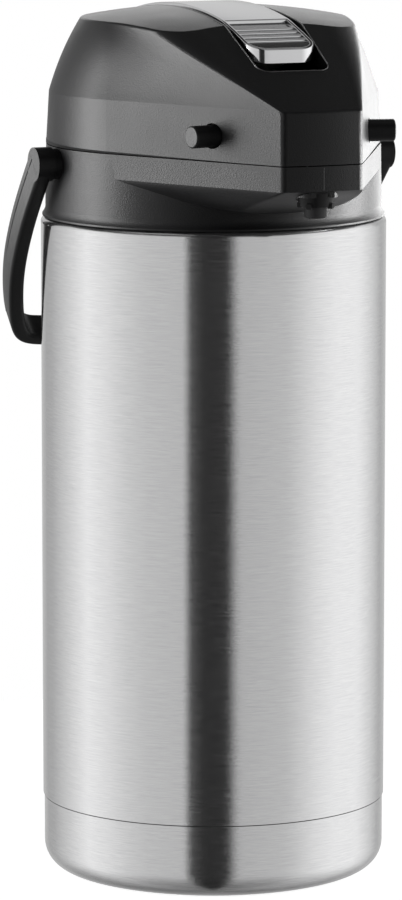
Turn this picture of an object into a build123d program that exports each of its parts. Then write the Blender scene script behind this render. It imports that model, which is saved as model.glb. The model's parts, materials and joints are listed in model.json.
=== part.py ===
from build123d import *
import math
import os

os.makedirs("parts", exist_ok=True)

# A tall thermal carafe with a lever pump. Millimetres, +Z up, the spout points to -Y.
# The origin is the middle of the foot, on the table.

# Clearances
RUN = 0.05
FIT = 0.03
SEAT = 0.3

# Steel body
SHELL_R = 82.5
SHELL_WALL = 0.8
SHELL_H = 280.6
SHELL_SHOULDER_R = 3.0
SHELL_LIP_W = 2.2
SEAM_GAP = 0.3
CUP_INSET = 0.6
CUP_H = 37.1
CUP_WALL = 0.8
CUP_CORNER_R = 12.6
CUP_SPIGOT_H = 9.0
FOOT_H = 1.2
FOOT_INSET = 3.3
FOOT_W = 8.0

# Flask
FLASK_CLEAR = 9.7
FLASK_WALL = 0.8
FLASK_GAP = 6.2
FLASK_BOTTOM = 24.0
FLASK_CORNER_R = 14.0
FLASK_SHOULDER_H = 40.0
FLASK_SHOULDER_Z = 262.0
NECK_R = 30.0
NECK_VACUUM = 2.4
SUPPORT_FLOOR = 2.4
SUPPORT_WALL = 3.0
SUPPORT_RIBS = 8
CUSHION_T = 4.0
CUSHION_LIP_H = 12.0
CUSHION_LIP_T = 3.0

# Head outline, shared by the collar and the lid
HEAD_INSET = 2.7
HEAD_WALL = 2.6
BEAK_PROUD = 50.7
BEAK_CORNER_X = 17.3
BEAK_CORNER_R = 3.5
BEAK_BOW = 1.2

# Collar
COLLAR_GAP = 0.3
COLLAR_H = 34.2
COLLAR_FOOT_INSET = 0.7
COLLAR_FOOT_H = 5.5
COLLAR_TAPER = 0.5
BAND_H = 11.5
DECK_T = 2.5
DECK_DEPTH = 9.3
PLUG_T = 2.3
PLUG_H = 9.0
GASKET_T = 2.7
GASKET_SKIRT_H = 5.0
GASKET_SKIRT_T = 1.6
COLLAR_NECK_T = 2.6
COLLAR_NECK_H = 12.0
SCOOP_STEPS = ((0.0, 0.0, 0.0), (3.8, 14.0, 4.8), (8.6, 26.0, 8.3), (14.9, 36.5, 11.3),
               (22.5, 43.5, 13.2), (31.6, 48.0, 14.6))

# Bail handle
BAIL_PIVOT_DROP = 7.5
BAIL_REST_GAP = 0.34
BAIL_WIDTH = 16.5
BAIL_BAR_WIDTH = 14.6
BAIL_T = 7.0
BAIL_HUB_GAP = 2.7
BAIL_HUB_W = 11.8
BAIL_HUB_END = 2.0
BAIL_TOP_IN = 3.2
BAIL_TOP_AT = 20.0
BAIL_MID_IN = 4.6
BAIL_MID_AT = 56.0
BAIL_END_IN = 17.5
BAIL_END_AT = 113.7
BAIL_LENGTH = 135.8
BAIL_CORNER_R = 16.0
BAIL_BEND_R = 60.0
BAIL_TURN_R = 40.0
BAIL_EDGE_R = 1.6
BAIL_PIN_R = 3.0
BAIL_PIN_IN = 9.0
BAIL_PIN_OUT = 8.0
BOSS_R = 7.2

# Lid
LID_GAP = 0.5
LID_SKIRT_H = 24.5
LID_H = 65.2
LID_DRAFT = 1.4
SLOPE_ANGLE = 26.2
LID_MID_H = 16.5
LID_MID_IN = 7.2
LID_MID_CORNER_IN = 54.3
LID_MID_CORNER_R = 13.0
LID_RIM_H = 33.5
LID_RIM_IN = 15.8
LID_RIM_CORNER_IN = 49.8
LID_RIM_CORNER_R = 24.0
LID_END_RISE = 1.8
LID_END_IN = 21.0
LID_END_CORNER_IN = 48.8
LID_END_CORNER_R = 28.0
DOME_R = 345.0
DOME_EDGE_R = 1.5
CREASE_EDGE_R = 1.8

# Lever channel in the lid
SLOT_HALF = 19.4
SLOT_FRONT_HALF = 17.8
SLOT_TAPER_AHEAD = 10.2
SLOT_FRONT_AHEAD = 51.3
SLOT_BACK_IN = 19.8
SLOT_CORNER_R = 6.0
SLOT_RIM_T = 1.6
SLOT_RIM_H = 9.0

# Lever
LEVER_HALF = 17.5
LEVER_PIVOT_IN = 10.0
LEVER_PIVOT_DROP = 14.2
LEVER_PROUD = 0.8
LEVER_BACK_GAP = 0.8
LEVER_T = 2.2
LEVER_SIDE_T = 2.0
LEVER_SKIRT = 8.0
LEVER_BEND_AHEAD = 3.9
LEVER_BEND_DROP = 4.2
LEVER_MID_AHEAD = 20.7
LEVER_MID_DROP = 9.1
LEVER_TIP_AHEAD = 38.8
LEVER_TIP_DROP = 16.0
LEVER_TIP_HALF = 10.2
LEVER_TIP_H = 7.2
LEVER_SHOULDER_AHEAD = 27.7
LEVER_SHOULDER_R = 8.0
LEVER_PIN_R = 2.0
LEVER_LUG_R = 5.0
LEVER_EDGE_R = 0.7
GRIP_FRONT_AHEAD = 34.0
GRIP_CORNER_R = 7.5
GRIP_HALF = 16.0
GRIP_T = 1.2
GRIP_RIBS = 5
GRIP_RIB_AHEAD = 8.7
GRIP_RIB_PITCH = 4.0
GRIP_RIB_R = 1.1

# Lid pan and pump
PAN_DROP = 1.2
PAN_T = 2.6
SEAL_R = 31.5
SEAL_W = 4.0
SEAL_T = 1.5
STEM_FLANGE_T = 1.8
STEM_FLANGE_R = 37.5
STEM_PLUG_GAP = 0.7
STEM_PLUG_T = 3.0
STEM_PLUG_H = 10.0
STEM_HUB_R = 7.0
STEM_AIR_R = 2.0
STEM_AIR_HOLES = 6
STEM_AIR_AT = 18.0
ORING_R = 0.85
TUBE_R = 4.2
TUBE_WALL = 1.0
TUBE_FOOT_GAP = 8.0
TUBE_SOCKET = 12.0
PIPE_R = 3.5
PIPE_WALL = 0.9
PIPE_BEND_R = 5.0
NOZZLE_IN = 8.5
NOZZLE_TOP_R = 8.75
NOZZLE_LOW_R = 7.5
NOZZLE_RING_H = 6.5
NOZZLE_LUGS = 4
TIP_R = 5.1
TIP_BORE_R = 3.9
TIP_DROP = 24.3
BELLOWS_R = 38.0
BELLOWS_IN_R = 31.0
BELLOWS_T = 1.2
BELLOWS_FOLDS = 5
BELLOWS_H = 39.2
PUSHER_R = 30.0
PUSHER_T = 3.0
PUSHER_DOME_R = 14.0
PUSHER_POST_R = 9.0
PUSHER_GAP = 0.3
PUSHER_TOP = 9.2
SPRING_R = 18.0
SPRING_WIRE_R = 0.9
SPRING_TURNS = 6
PORT_R = 5.0
VALVE_R = 12.0
VALVE_T = 1.2
SCREW_R = 1.6
SCREW_HEAD_R = 3.4
SCREW_HEAD_H = 2.0
SCREW_L = 11.0
SCREW_BOSS_R = 4.2
SCREW_PLACES = ((46.0, 30.0), (44.0, -52.0))

# Hinge of the lid
HINGE_OUT = 5.2
HINGE_R = 5.0
HINGE_PIN_R = 2.0
HINGE_LID_HALF = 13.6
HINGE_EAR_IN = 14.0
HINGE_EAR_OUT = 24.0
HINGE_PIN_PROUD = 0.8

# Release buttons, one on each side
BUTTON_BEHIND = 36.9
BUTTON_RISE = 11.5
BUTTON_SWEEP = 14.0
BUTTON_R = 5.15
BUTTON_OUT = 11.7
BUTTON_HOLE_R = 5.9
BUTTON_EDGE_R = 0.9
BUTTON_FLANGE_R = 7.0
BUTTON_FLANGE_AT = 5.4
BUTTON_FLANGE_T = 1.5
BUTTON_STEM_R = 2.6
BUTTON_STEM_L = 8.2
BUTTON_TRAVEL = 4.0
HOOK_T = 2.0
HOOK_W = 9.0
HOOK_BARB = 2.4
HOOK_BARB_H = 2.6
HOOK_DROP = 7.0
CATCH_H = 2.8
CATCH_DEPTH = 5.7
BUTTON_SPRING_R = 3.6
BUTTON_SPRING_WIRE_R = 0.35
BUTTON_SPRING_L = 6.2
BUTTON_SPRING_TURNS = 4
CUP_GUIDE_R = 5.4
CUP_GUIDE_T = 1.0

# Radii and places that follow from these
HEAD_R = SHELL_R - HEAD_INSET
FLASK_R = SHELL_R - SHELL_WALL - FLASK_CLEAR
FOOT_R = SHELL_R - CUP_INSET - CUP_CORNER_R - FOOT_INSET
COLLAR_FOOT_R = SHELL_R - COLLAR_FOOT_INSET
BEAK_REACH = HEAD_R + BEAK_PROUD
BEAK_CORNER_Y = BEAK_CORNER_R - BEAK_REACH
NOZZLE_Y = BEAK_REACH - NOZZLE_IN
BUTTON_Y = BEAK_REACH - BUTTON_BEHIND
HINGE_Y = HEAD_R + HINGE_OUT
BAIL_HUB_IN = HEAD_R + COLLAR_TAPER + BAIL_HUB_GAP
BAIL_HUB_OUT = BAIL_HUB_IN + BAIL_HUB_W
SLOT_BACK = HEAD_R - SLOT_BACK_IN
LEVER_BACK = SLOT_BACK - LEVER_BACK_GAP
LEVER_PIVOT_Y = SLOT_BACK - LEVER_PIVOT_IN
SLOPE_END = BEAK_REACH - (LID_H - LID_SKIRT_H) / math.tan(math.radians(SLOPE_ANGLE))
SLOT_TAPER_AT = SLOPE_END + SLOT_TAPER_AHEAD
SLOT_FRONT = SLOPE_END + SLOT_FRONT_AHEAD
LEVER_BEND_AT = SLOPE_END + LEVER_BEND_AHEAD
LEVER_TIP = SLOPE_END + LEVER_TIP_AHEAD
LEVER_SHOULDER_AT = SLOPE_END + LEVER_SHOULDER_AHEAD
GRIP_FRONT = SLOPE_END + GRIP_FRONT_AHEAD
LID_END_H = LID_H - LID_SKIRT_H + LID_END_RISE

# Heights that follow
SHELL_BOTTOM = CUP_H + SEAM_GAP
SHELL_TOP = SHELL_BOTTOM + SHELL_H
COLLAR_BOTTOM = SHELL_TOP + COLLAR_GAP
COLLAR_TOP = COLLAR_BOTTOM + COLLAR_H
BAND_BOTTOM = COLLAR_TOP - BAND_H
DECK_TOP = COLLAR_TOP - DECK_DEPTH
DECK_BOTTOM = DECK_TOP - DECK_T
LIP_Z = DECK_BOTTOM - GASKET_T
LID_BOTTOM = COLLAR_TOP + LID_GAP
CREASE_Z = LID_BOTTOM + LID_SKIRT_H
LID_TOP = LID_BOTTOM + LID_H
PAN_BOTTOM = LID_BOTTOM + PAN_DROP
PAN_TOP = PAN_BOTTOM + PAN_T
PIVOT_Z = COLLAR_TOP - BAIL_PIVOT_DROP
HINGE_Z = LID_BOTTOM
LEVER_PIVOT_Z = LID_TOP - LEVER_PIVOT_DROP
BUTTON_Z = LID_BOTTOM + BUTTON_RISE
CUP_FLOOR_TOP = FOOT_H + CUP_WALL
NECK_OUT_R = NECK_R + NECK_VACUUM + 2 * FLASK_WALL
SEAL_BOTTOM = PAN_BOTTOM - SEAL_T
RIM_TOP = SEAL_BOTTOM - SEAT
PIPE_Z = DECK_TOP + FIT + PIPE_R + 0.8
TIP_BOTTOM = COLLAR_TOP - TIP_DROP
PRESS_Z = LID_TOP - PUSHER_TOP


def put(node, *solids):
    """Write one node: a single solid, or a group of separate ones."""
    pieces = [solid for item in solids for solid in item.solids()]
    if len(pieces) == 1:
        shape = pieces[0]
    else:
        shape = Compound(children=pieces)
    shape.label = node
    export_step(shape, "parts/" + node + ".step")


def ring(inner, outer, bottom, top):
    """Upright tube about the axis of the carafe."""
    tube = Cylinder(outer, top - bottom, align=(Align.CENTER, Align.CENTER, Align.MIN))
    if inner > 0:
        tube -= Cylinder(inner, top - bottom, align=(Align.CENTER, Align.CENTER, Align.MIN))
    return Pos(0, 0, bottom) * tube


def post(radius, x, y, bottom, top):
    """Upright round bar."""
    return Pos(x, y, 0) * ring(0, radius, bottom, top)


def cross_bar(radius, x_from, x_to, y, z):
    """Round bar along X."""
    bar = Cylinder(radius, x_to - x_from, align=(Align.CENTER, Align.CENTER, Align.MIN))
    return Pos(x_from, y, z) * (Rot(0, 90, 0) * bar)


def block(x_from, x_to, y_from, y_to, z_from, z_to):
    """Box between two corners."""
    size = (x_to - x_from, y_to - y_from, z_to - z_from)
    return Pos(x_from, y_from, z_from) * Box(*size, align=(Align.MIN, Align.MIN, Align.MIN))


def side_plate(points, x_from, x_to):
    """Flat plate across X whose outline is a list of (y, z) points."""
    outline = Wire.make_polygon([(x_from, y, z) for y, z in points], close=True)
    return Solid.extrude(Face(outline), Vector(x_to - x_from, 0, 0))


def turned(*edges):
    """Solid of revolution from edges drawn as (radius, 0, z)."""
    return revolve(Face(Wire(list(edges))), Axis.Z)


def path_points(points):
    """Lines through (radius, z) points, ready for turned()."""
    edges = []
    for (r0, z0), (r1, z1) in zip(points, points[1:]):
        edges.append(Line((r0, 0, z0), (r1, 0, z1)))
    return edges


def arc(start, middle, end):
    """Arc through three (radius, z) points."""
    return ThreePointArc(*[(r, 0, z) for r, z in (start, middle, end)])


def quarter(radius, centre, angle):
    """Point on a rounding in the (radius, z) plane, by its angle in degrees."""
    a = math.radians(angle)
    return (centre[0] + radius * math.cos(a), centre[1] + radius * math.sin(a))


def side_turn(radius, corner_x, corner_y, corner_r):
    """Angle that the outline's straight right side faces."""
    reach = math.hypot(corner_x, corner_y)
    return math.atan2(corner_y, corner_x) + math.acos((radius - corner_r) / reach)


def beak_side():
    """Unit vector that the beak's right side faces."""
    turn = side_turn(HEAD_R, BEAK_CORNER_X, BEAK_CORNER_Y, BEAK_CORNER_R)
    return math.cos(turn), math.sin(turn)


def head_outline(z, radius, corner_x, corner_y, corner_r, bow):
    """Drop-shaped outline: a round back, straight sides, round corners and a bowed front."""
    turn = side_turn(radius, corner_x, corner_y, corner_r)
    side = (math.cos(turn), math.sin(turn))
    half = (turn - math.pi / 2) / 2
    back = (radius * side[0], radius * side[1])
    front = (corner_x + corner_r * side[0], corner_y + corner_r * side[1])
    bend = (corner_x + corner_r * math.cos(half), corner_y + corner_r * math.sin(half))
    nose = (corner_x, corner_y - corner_r)
    right = [(x, y, z) for x, y in (back, front, bend, nose)]
    left = [(-x, y, z) for x, y in (back, front, bend, nose)]
    return Wire([
        Line(right[0], right[1]),
        ThreePointArc(right[1], right[2], right[3]),
        ThreePointArc(right[3], (0, nose[1] - bow, z), left[3]),
        ThreePointArc(left[3], left[2], left[1]),
        Line(left[1], left[0]),
        ThreePointArc(left[0], (0, radius, z), right[0]),
    ])


def plan(z, inset=0.0):
    """The outline of the collar band and of the lid's foot."""
    return head_outline(z, HEAD_R - inset, BEAK_CORNER_X, BEAK_CORNER_Y,
                        BEAK_CORNER_R - inset, BEAK_BOW)


def plan_prism(bottom, top, inset=0.0):
    return Solid.extrude(Face(plan(bottom, inset)), Vector(0, 0, top - bottom))


def slope_front(z):
    """How far forward the sloped face stands at height z."""
    return BEAK_REACH - (z - CREASE_Z) / math.tan(math.radians(SLOPE_ANGLE))


def lid_form(inset=0.0, drop=0.0):
    """The lid's outer form, or the form of its hollow when it is given an inset."""
    foot = plan(LID_BOTTOM - (1.0 if inset else 0.0), inset)
    crease = head_outline(CREASE_Z, HEAD_R - LID_DRAFT - inset, BEAK_CORNER_X, BEAK_CORNER_Y,
                          BEAK_CORNER_R - inset, BEAK_BOW)
    lower = Solid.make_loft([foot, crease], True)
    levels = (
        (LID_MID_H, LID_MID_IN, LID_MID_CORNER_IN, LID_MID_CORNER_R),
        (LID_RIM_H, LID_RIM_IN, LID_RIM_CORNER_IN, LID_RIM_CORNER_R),
        (LID_END_H, LID_END_IN, LID_END_CORNER_IN, LID_END_CORNER_R),
    )
    sections = [crease]
    for rise, narrower, corner_in, corner_r in levels:
        z = CREASE_Z + rise
        sections.append(head_outline(z - drop, HEAD_R - narrower - inset, HEAD_R - corner_in,
                                     corner_r - slope_front(z), corner_r - inset, BEAK_BOW))
    upper = Solid.make_loft(sections, False)
    dome = Pos(0, 0, LID_TOP - DOME_R) * Sphere(DOME_R - inset)
    return lower + (upper & dome)


# Base and shell


def base_cup():
    """Steel cup: flat floor, large rounded corner, and a spigot that slides up into the shell."""
    out = SHELL_R - CUP_INSET
    inn = out - CUP_WALL
    spigot = SHELL_R - SHELL_WALL - 0.1
    corner_in = CUP_CORNER_R - CUP_WALL
    centre = (out - CUP_CORNER_R, FOOT_H + CUP_CORNER_R)
    outer = path_points([(0, FOOT_H), (centre[0], FOOT_H)])
    outer.append(arc((centre[0], FOOT_H), quarter(CUP_CORNER_R, centre, -45), (out, centre[1])))
    outer += path_points([(out, centre[1]), (out, CUP_H), (spigot, CUP_H),
                          (spigot, CUP_H + CUP_SPIGOT_H), (inn - 0.6, CUP_H + CUP_SPIGOT_H),
                          (inn - 0.6, CUP_H - 1.5), (inn, CUP_H - 3.0), (inn, centre[1])])
    outer.append(arc((inn, centre[1]), quarter(corner_in, centre, -45),
                     (centre[0], CUP_FLOOR_TOP)))
    outer += path_points([(centre[0], CUP_FLOOR_TOP), (0, CUP_FLOOR_TOP), (0, FOOT_H)])
    return turned(*outer)


def outer_shell():
    """Steel tube, rolled in at the top to a rounded shoulder and a flat lip."""
    top_r = SHELL_SHOULDER_R
    inn = SHELL_R - SHELL_WALL
    centre = (SHELL_R - top_r, SHELL_TOP - top_r)
    lip = centre[0] - SHELL_LIP_W
    under = top_r - SHELL_WALL
    edges = path_points([(SHELL_R, SHELL_BOTTOM), (SHELL_R, centre[1])])
    edges.append(arc((SHELL_R, centre[1]), quarter(top_r, centre, 45), (centre[0], SHELL_TOP)))
    edges += path_points([(centre[0], SHELL_TOP), (lip, SHELL_TOP),
                          (lip, SHELL_TOP - SHELL_WALL), (centre[0], SHELL_TOP - SHELL_WALL)])
    edges.append(arc((centre[0], SHELL_TOP - SHELL_WALL), quarter(under, centre, 45),
                     (inn, centre[1])))
    edges += path_points([(inn, centre[1]), (inn, SHELL_BOTTOM), (SHELL_R, SHELL_BOTTOM)])
    return turned(*edges)


def base_support():
    """Plastic spider on the cup's floor that carries the cushion."""
    top = FLASK_BOTTOM - SEAT - CUSHION_T
    floor_top = CUP_FLOOR_TOP + SUPPORT_FLOOR
    rim_r = SHELL_R - CUP_INSET - CUP_CORNER_R
    spider = ring(0, rim_r, CUP_FLOOR_TOP, floor_top)
    spider += ring(rim_r - 9.0, rim_r - 9.0 + SUPPORT_WALL, floor_top, top)
    spider += ring(20.0, 20.0 + SUPPORT_WALL, floor_top, top)
    web = block(20.0 + SUPPORT_WALL / 2, rim_r - 8.0, -SUPPORT_WALL / 2, SUPPORT_WALL / 2,
                floor_top, top)
    for turn in range(SUPPORT_RIBS):
        spider += Rot(0, 0, 360 / SUPPORT_RIBS * turn) * web
    return spider


def flask_cushion():
    """Rubber dish under the flask."""
    top = FLASK_BOTTOM - SEAT
    outer = FLASK_R + SEAT + CUSHION_LIP_T
    dish = ring(0, outer, top - CUSHION_T, top + CUSHION_LIP_H)
    hollow = [(0, top), (FLASK_R - FLASK_CORNER_R, top)]
    centre = (FLASK_R - FLASK_CORNER_R, FLASK_BOTTOM + FLASK_CORNER_R)
    reach = FLASK_CORNER_R + SEAT
    edges = path_points(hollow)
    edges.append(arc(hollow[1], quarter(reach, centre, -45), (FLASK_R + SEAT, centre[1])))
    edges += path_points([(FLASK_R + SEAT, centre[1]), (FLASK_R + SEAT, top + 60), (0, top + 60),
                          (0, top)])
    return dish - turned(*edges)


def bottle_outline(radius, corner_r, bottom, neck_r):
    """Edges of one bottle wall, from the axis up to the start of the neck."""
    centre = (radius - corner_r, bottom + corner_r)
    shoulder_top = FLASK_SHOULDER_Z + FLASK_SHOULDER_H
    bow = (radius - (radius - neck_r) * 0.36, FLASK_SHOULDER_Z + FLASK_SHOULDER_H * 0.72)
    return [
        Line((0, 0, bottom), (centre[0], 0, bottom)),
        arc((centre[0], bottom), quarter(corner_r, centre, -45), (radius, centre[1])),
        Line((radius, 0, centre[1]), (radius, 0, FLASK_SHOULDER_Z)),
        arc((radius, FLASK_SHOULDER_Z), bow, (neck_r, shoulder_top)),
    ]


def bottle(radius, corner_r, bottom, neck_r, top, flange=0.0):
    """Thin bottle wall, open at the neck, with an optional flange round its mouth."""
    wall = FLASK_WALL
    shoulder_top = FLASK_SHOULDER_Z + FLASK_SHOULDER_H
    outside = bottle_outline(radius, corner_r, bottom, neck_r)
    inside = bottle_outline(radius - wall, corner_r - wall, bottom + wall, neck_r - wall)
    if flange:
        mouth = path_points([(neck_r, shoulder_top), (neck_r, top - wall),
                             (neck_r + flange, top - wall), (neck_r + flange, top),
                             (neck_r - wall, top), (neck_r - wall, shoulder_top)])
    else:
        mouth = path_points([(neck_r, shoulder_top), (neck_r, top), (neck_r - wall, top),
                             (neck_r - wall, shoulder_top)])
    return turned(*outside, *mouth, *inside[::-1], Line((0, 0, bottom + wall), (0, 0, bottom)))


def flask_outer_wall():
    return bottle(FLASK_R, FLASK_CORNER_R, FLASK_BOTTOM, NECK_OUT_R, LIP_Z - FLASK_WALL)


def flask_liner():
    """Inner wall that holds the drink, with the rolled lip that closes the vacuum space."""
    return bottle(FLASK_R - FLASK_GAP, FLASK_CORNER_R - 2.0, FLASK_BOTTOM + FLASK_GAP,
                  NECK_R + FLASK_WALL, LIP_Z, NECK_VACUUM + FLASK_WALL)


def neck_gasket():
    """Rubber cap ring on the flask's lip, clamped under the collar's deck."""
    outer = NECK_OUT_R + GASKET_SKIRT_T
    flat = ring(NECK_R + 0.4, outer, LIP_Z, DECK_BOTTOM)
    skirt = ring(NECK_OUT_R + FIT, outer, LIP_Z - GASKET_SKIRT_H, LIP_Z + 0.5)
    return flat + skirt


# Collar


def scoop(inset, rise):
    """Hull under the beak: it drops steeply from the straight sides and gently from the front."""
    nx, ny = beak_side()
    sections = []
    for side_in, front_in, drop in SCOOP_STEPS:
        corner_r = BEAK_CORNER_R - inset
        corner_y = BEAK_CORNER_Y + front_in
        corner_x = (HEAD_R - side_in - BEAK_CORNER_R - ny * corner_y) / nx
        sections.append(head_outline(BAND_BOTTOM - drop + rise, HEAD_R - side_in - inset,
                                     corner_x, corner_y, corner_r, BEAK_BOW))
    return Solid.make_loft(sections, False)


def collar():
    """Shoulder of the carafe: foot flare, band, beak, deck, neck and the bail's bosses."""
    top_r = HEAD_R + COLLAR_TAPER
    flare_top = COLLAR_BOTTOM + COLLAR_FOOT_H
    mid = (top_r + (COLLAR_FOOT_R - top_r) * 0.22, COLLAR_BOTTOM + COLLAR_FOOT_H * 0.5)
    body = turned(
        Line((0, 0, COLLAR_BOTTOM), (COLLAR_FOOT_R, 0, COLLAR_BOTTOM)),
        Line((COLLAR_FOOT_R, 0, COLLAR_BOTTOM), (COLLAR_FOOT_R, 0, COLLAR_BOTTOM + 0.8)),
        arc((COLLAR_FOOT_R, COLLAR_BOTTOM + 0.8), mid, (top_r, flare_top)),
        Line((top_r, 0, flare_top), (HEAD_R, 0, COLLAR_TOP)),
        Line((HEAD_R, 0, COLLAR_TOP), (0, 0, COLLAR_TOP)),
        Line((0, 0, COLLAR_TOP), (0, 0, COLLAR_BOTTOM)),
    )
    body += plan_prism(BAND_BOTTOM, COLLAR_TOP)
    body += scoop(0.0, 0.0)
    for sign in (-1, 1):
        ends = sorted((sign * (HEAD_R - 4.0), sign * (BAIL_HUB_IN - SEAT)))
        body += cross_bar(BOSS_R, ends[0], ends[1], 0, PIVOT_Z)
        ears = sorted((sign * HINGE_EAR_IN, sign * HINGE_EAR_OUT))
        body += cross_bar(HINGE_R, ears[0], ears[1], HINGE_Y, HINGE_Z)
        web = [(HINGE_Y - 12.0, COLLAR_TOP), (HINGE_Y - HINGE_R, COLLAR_TOP),
               (HINGE_Y, HINGE_Z), (HINGE_Y + HINGE_R * 0.9, HINGE_Z - HINGE_R * 0.43),
               (HINGE_Y - 3.0, HINGE_Z - 17.0), (HINGE_Y - 12.0, HINGE_Z - 22.0)]
        body += side_plate(web, ears[0], ears[1])
    inner = HEAD_R - HEAD_WALL
    body -= ring(0, inner, COLLAR_BOTTOM - 1, DECK_BOTTOM)
    body -= plan_prism(DECK_TOP, COLLAR_TOP + 1, HEAD_WALL)
    trough = scoop(HEAD_WALL, HEAD_WALL) + plan_prism(BAND_BOTTOM + HEAD_WALL - 0.01, DECK_TOP + 1,
                                                       HEAD_WALL)
    body -= trough - ring(0, top_r, COLLAR_BOTTOM - 20, DECK_TOP)
    pad = post(NOZZLE_TOP_R + 1.4, 0, -NOZZLE_Y, nozzle_top() - 2.0, nozzle_top() + 3.0)
    body += pad & plan_prism(BAND_BOTTOM - 6, COLLAR_TOP, HEAD_WALL / 2)
    body -= post(NOZZLE_TOP_R + 0.2, 0, -NOZZLE_Y, BAND_BOTTOM - 20, nozzle_top() + 0.1)
    body -= post(TIP_R + 1.0, 0, -NOZZLE_Y, BAND_BOTTOM - 20, COLLAR_TOP + 1)
    body -= post(NECK_R + 1.3, 0, 0, DECK_BOTTOM - 1, DECK_TOP + 1)
    neck_in = NECK_OUT_R + GASKET_SKIRT_T + FIT
    body += ring(neck_in, neck_in + COLLAR_NECK_T, DECK_BOTTOM - COLLAR_NECK_H, DECK_BOTTOM + 0.5)
    plug_out = SHELL_R - SHELL_SHOULDER_R - SHELL_LIP_W - 0.2
    body += ring(plug_out - PLUG_T, plug_out, SHELL_TOP - PLUG_H, COLLAR_BOTTOM + 0.5)
    body += ring(plug_out - PLUG_T, inner + 1.0, COLLAR_BOTTOM, COLLAR_BOTTOM + 3.0)
    for sign in (-1, 1):
        pin_in, pin_out = sorted((sign * (BAIL_HUB_IN - BAIL_PIN_IN), sign * (BAIL_HUB_IN + 1)))
        body -= cross_bar(BAIL_PIN_R + FIT, pin_in, pin_out, 0, PIVOT_Z)
        body += catch(sign)
    body -= cross_bar(HINGE_PIN_R + FIT, -HINGE_EAR_OUT - 1, HINGE_EAR_OUT + 1, HINGE_Y, HINGE_Z)
    return body


def nozzle_top():
    return BAND_BOTTOM - 1.0


def hinge_pin():
    reach = HINGE_EAR_OUT + HINGE_PIN_PROUD
    return cross_bar(HINGE_PIN_R, -reach, reach, HINGE_Y, HINGE_Z)


def bail_pin(sign):
    ends = sorted((sign * (BAIL_HUB_IN - BAIL_PIN_IN), sign * (BAIL_HUB_IN + BAIL_PIN_OUT)))
    return cross_bar(BAIL_PIN_R, ends[0], ends[1], 0, PIVOT_Z)


# Stem, pipe and nozzle


def stem_head():
    """Plug in the flask's neck: flange, sealing rim, air holes and the hub of the dip tube."""
    plug_r = NECK_R - STEM_PLUG_GAP
    floor_top = DECK_TOP + STEM_FLANGE_T
    head = ring(0, STEM_FLANGE_R, DECK_TOP, floor_top)
    head += ring(SEAL_R, SEAL_R + SEAL_W, floor_top - 0.2, RIM_TOP)
    head += ring(plug_r - STEM_PLUG_T, plug_r, DECK_TOP - STEM_PLUG_H, DECK_TOP + 0.2)
    head += ring(0, STEM_HUB_R, LIP_Z - TUBE_SOCKET, PIPE_Z + PIPE_R + 1.4)
    for hole in range(STEM_AIR_HOLES):
        a = math.radians(360 / STEM_AIR_HOLES * (hole + 0.5))
        head -= post(STEM_AIR_R, STEM_AIR_AT * math.cos(a), STEM_AIR_AT * math.sin(a),
                     DECK_TOP - 1, floor_top + 1)
    groove = plug_r - 2 * ORING_R + 0.6
    head -= ring(groove, plug_r + 1, oring_z() - ORING_R - 0.15, oring_z() + ORING_R + 0.15)
    head -= post(TUBE_R + FIT, 0, 0, LIP_Z - TUBE_SOCKET - 1, LIP_Z)
    head -= post(TUBE_R - TUBE_WALL, 0, 0, LIP_Z - 1, PIPE_Z)
    head -= pipe_bar(PIPE_R - PIPE_WALL, 0.0, STEM_HUB_R + 1)
    head -= pipe_bar(PIPE_R + FIT, STEM_HUB_R - 2.5, STEM_FLANGE_R + 2)
    return head


def pipe_bar(radius, start, end):
    """Round bar along the spout pipe's line, from one distance in front of the axis to another."""
    bar = Cylinder(radius, end - start, align=(Align.CENTER, Align.CENTER, Align.MIN))
    return Pos(0, -start, PIPE_Z) * (Rot(90, 0, 0) * bar)


def oring_z():
    return LIP_Z - 3.0


def stem_gasket():
    """Ring in the groove of the plug, close to the wall of the neck."""
    major = NECK_R - FIT - ORING_R
    return Pos(0, 0, oring_z()) * Torus(major, ORING_R)


def dip_tube():
    """Long tube that ends just above the liner's floor, cut at a slant so it can't seal itself."""
    foot = FLASK_BOTTOM + FLASK_GAP + FLASK_WALL + TUBE_FOOT_GAP
    tube = ring(TUBE_R - TUBE_WALL, TUBE_R, foot, LIP_Z - FIT)
    slant = Pos(0, 0, foot - 4.0) * (Rot(30, 0, 0) * Box(40, 40, 8.0))
    return tube - slant


def spout_pipe():
    """Pipe along the beak that turns down into the nozzle."""
    start = (0, -(STEM_HUB_R - 2.4), PIPE_Z)
    path = FilletPolyline(start, (0, -NOZZLE_Y, PIPE_Z), (0, -NOZZLE_Y, BAND_BOTTOM - 4.0),
                          radius=PIPE_BEND_R)
    plane = Plane(origin=start, z_dir=(0, -1, 0))
    outside = sweep(plane * Circle(PIPE_R), path=path)
    inside = sweep(plane * Circle(PIPE_R - PIPE_WALL), path=path)
    return outside - inside


def nozzle_ring():
    """Ring that clamps the tip under the beak, with small lugs round its lower edge."""
    low = nozzle_top() - NOZZLE_RING_H
    body = turned(*path_points([
        (TIP_R + FIT, low), (NOZZLE_LOW_R, low), (NOZZLE_TOP_R, nozzle_top()),
        (TIP_R + 0.9, nozzle_top()), (TIP_R + 0.9, nozzle_top() + 2.4),
        (TIP_R + FIT, nozzle_top() + 2.4), (TIP_R + FIT, low)]))
    lug = block(NOZZLE_LOW_R - 1.0, NOZZLE_LOW_R + 1.1, -1.3, 1.3, low - 0.8, low + 1.6)
    for turn in range(NOZZLE_LUGS):
        body += Rot(0, 0, 360 / NOZZLE_LUGS * (turn + 0.5)) * lug
    return Pos(0, -NOZZLE_Y, 0) * body


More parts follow.
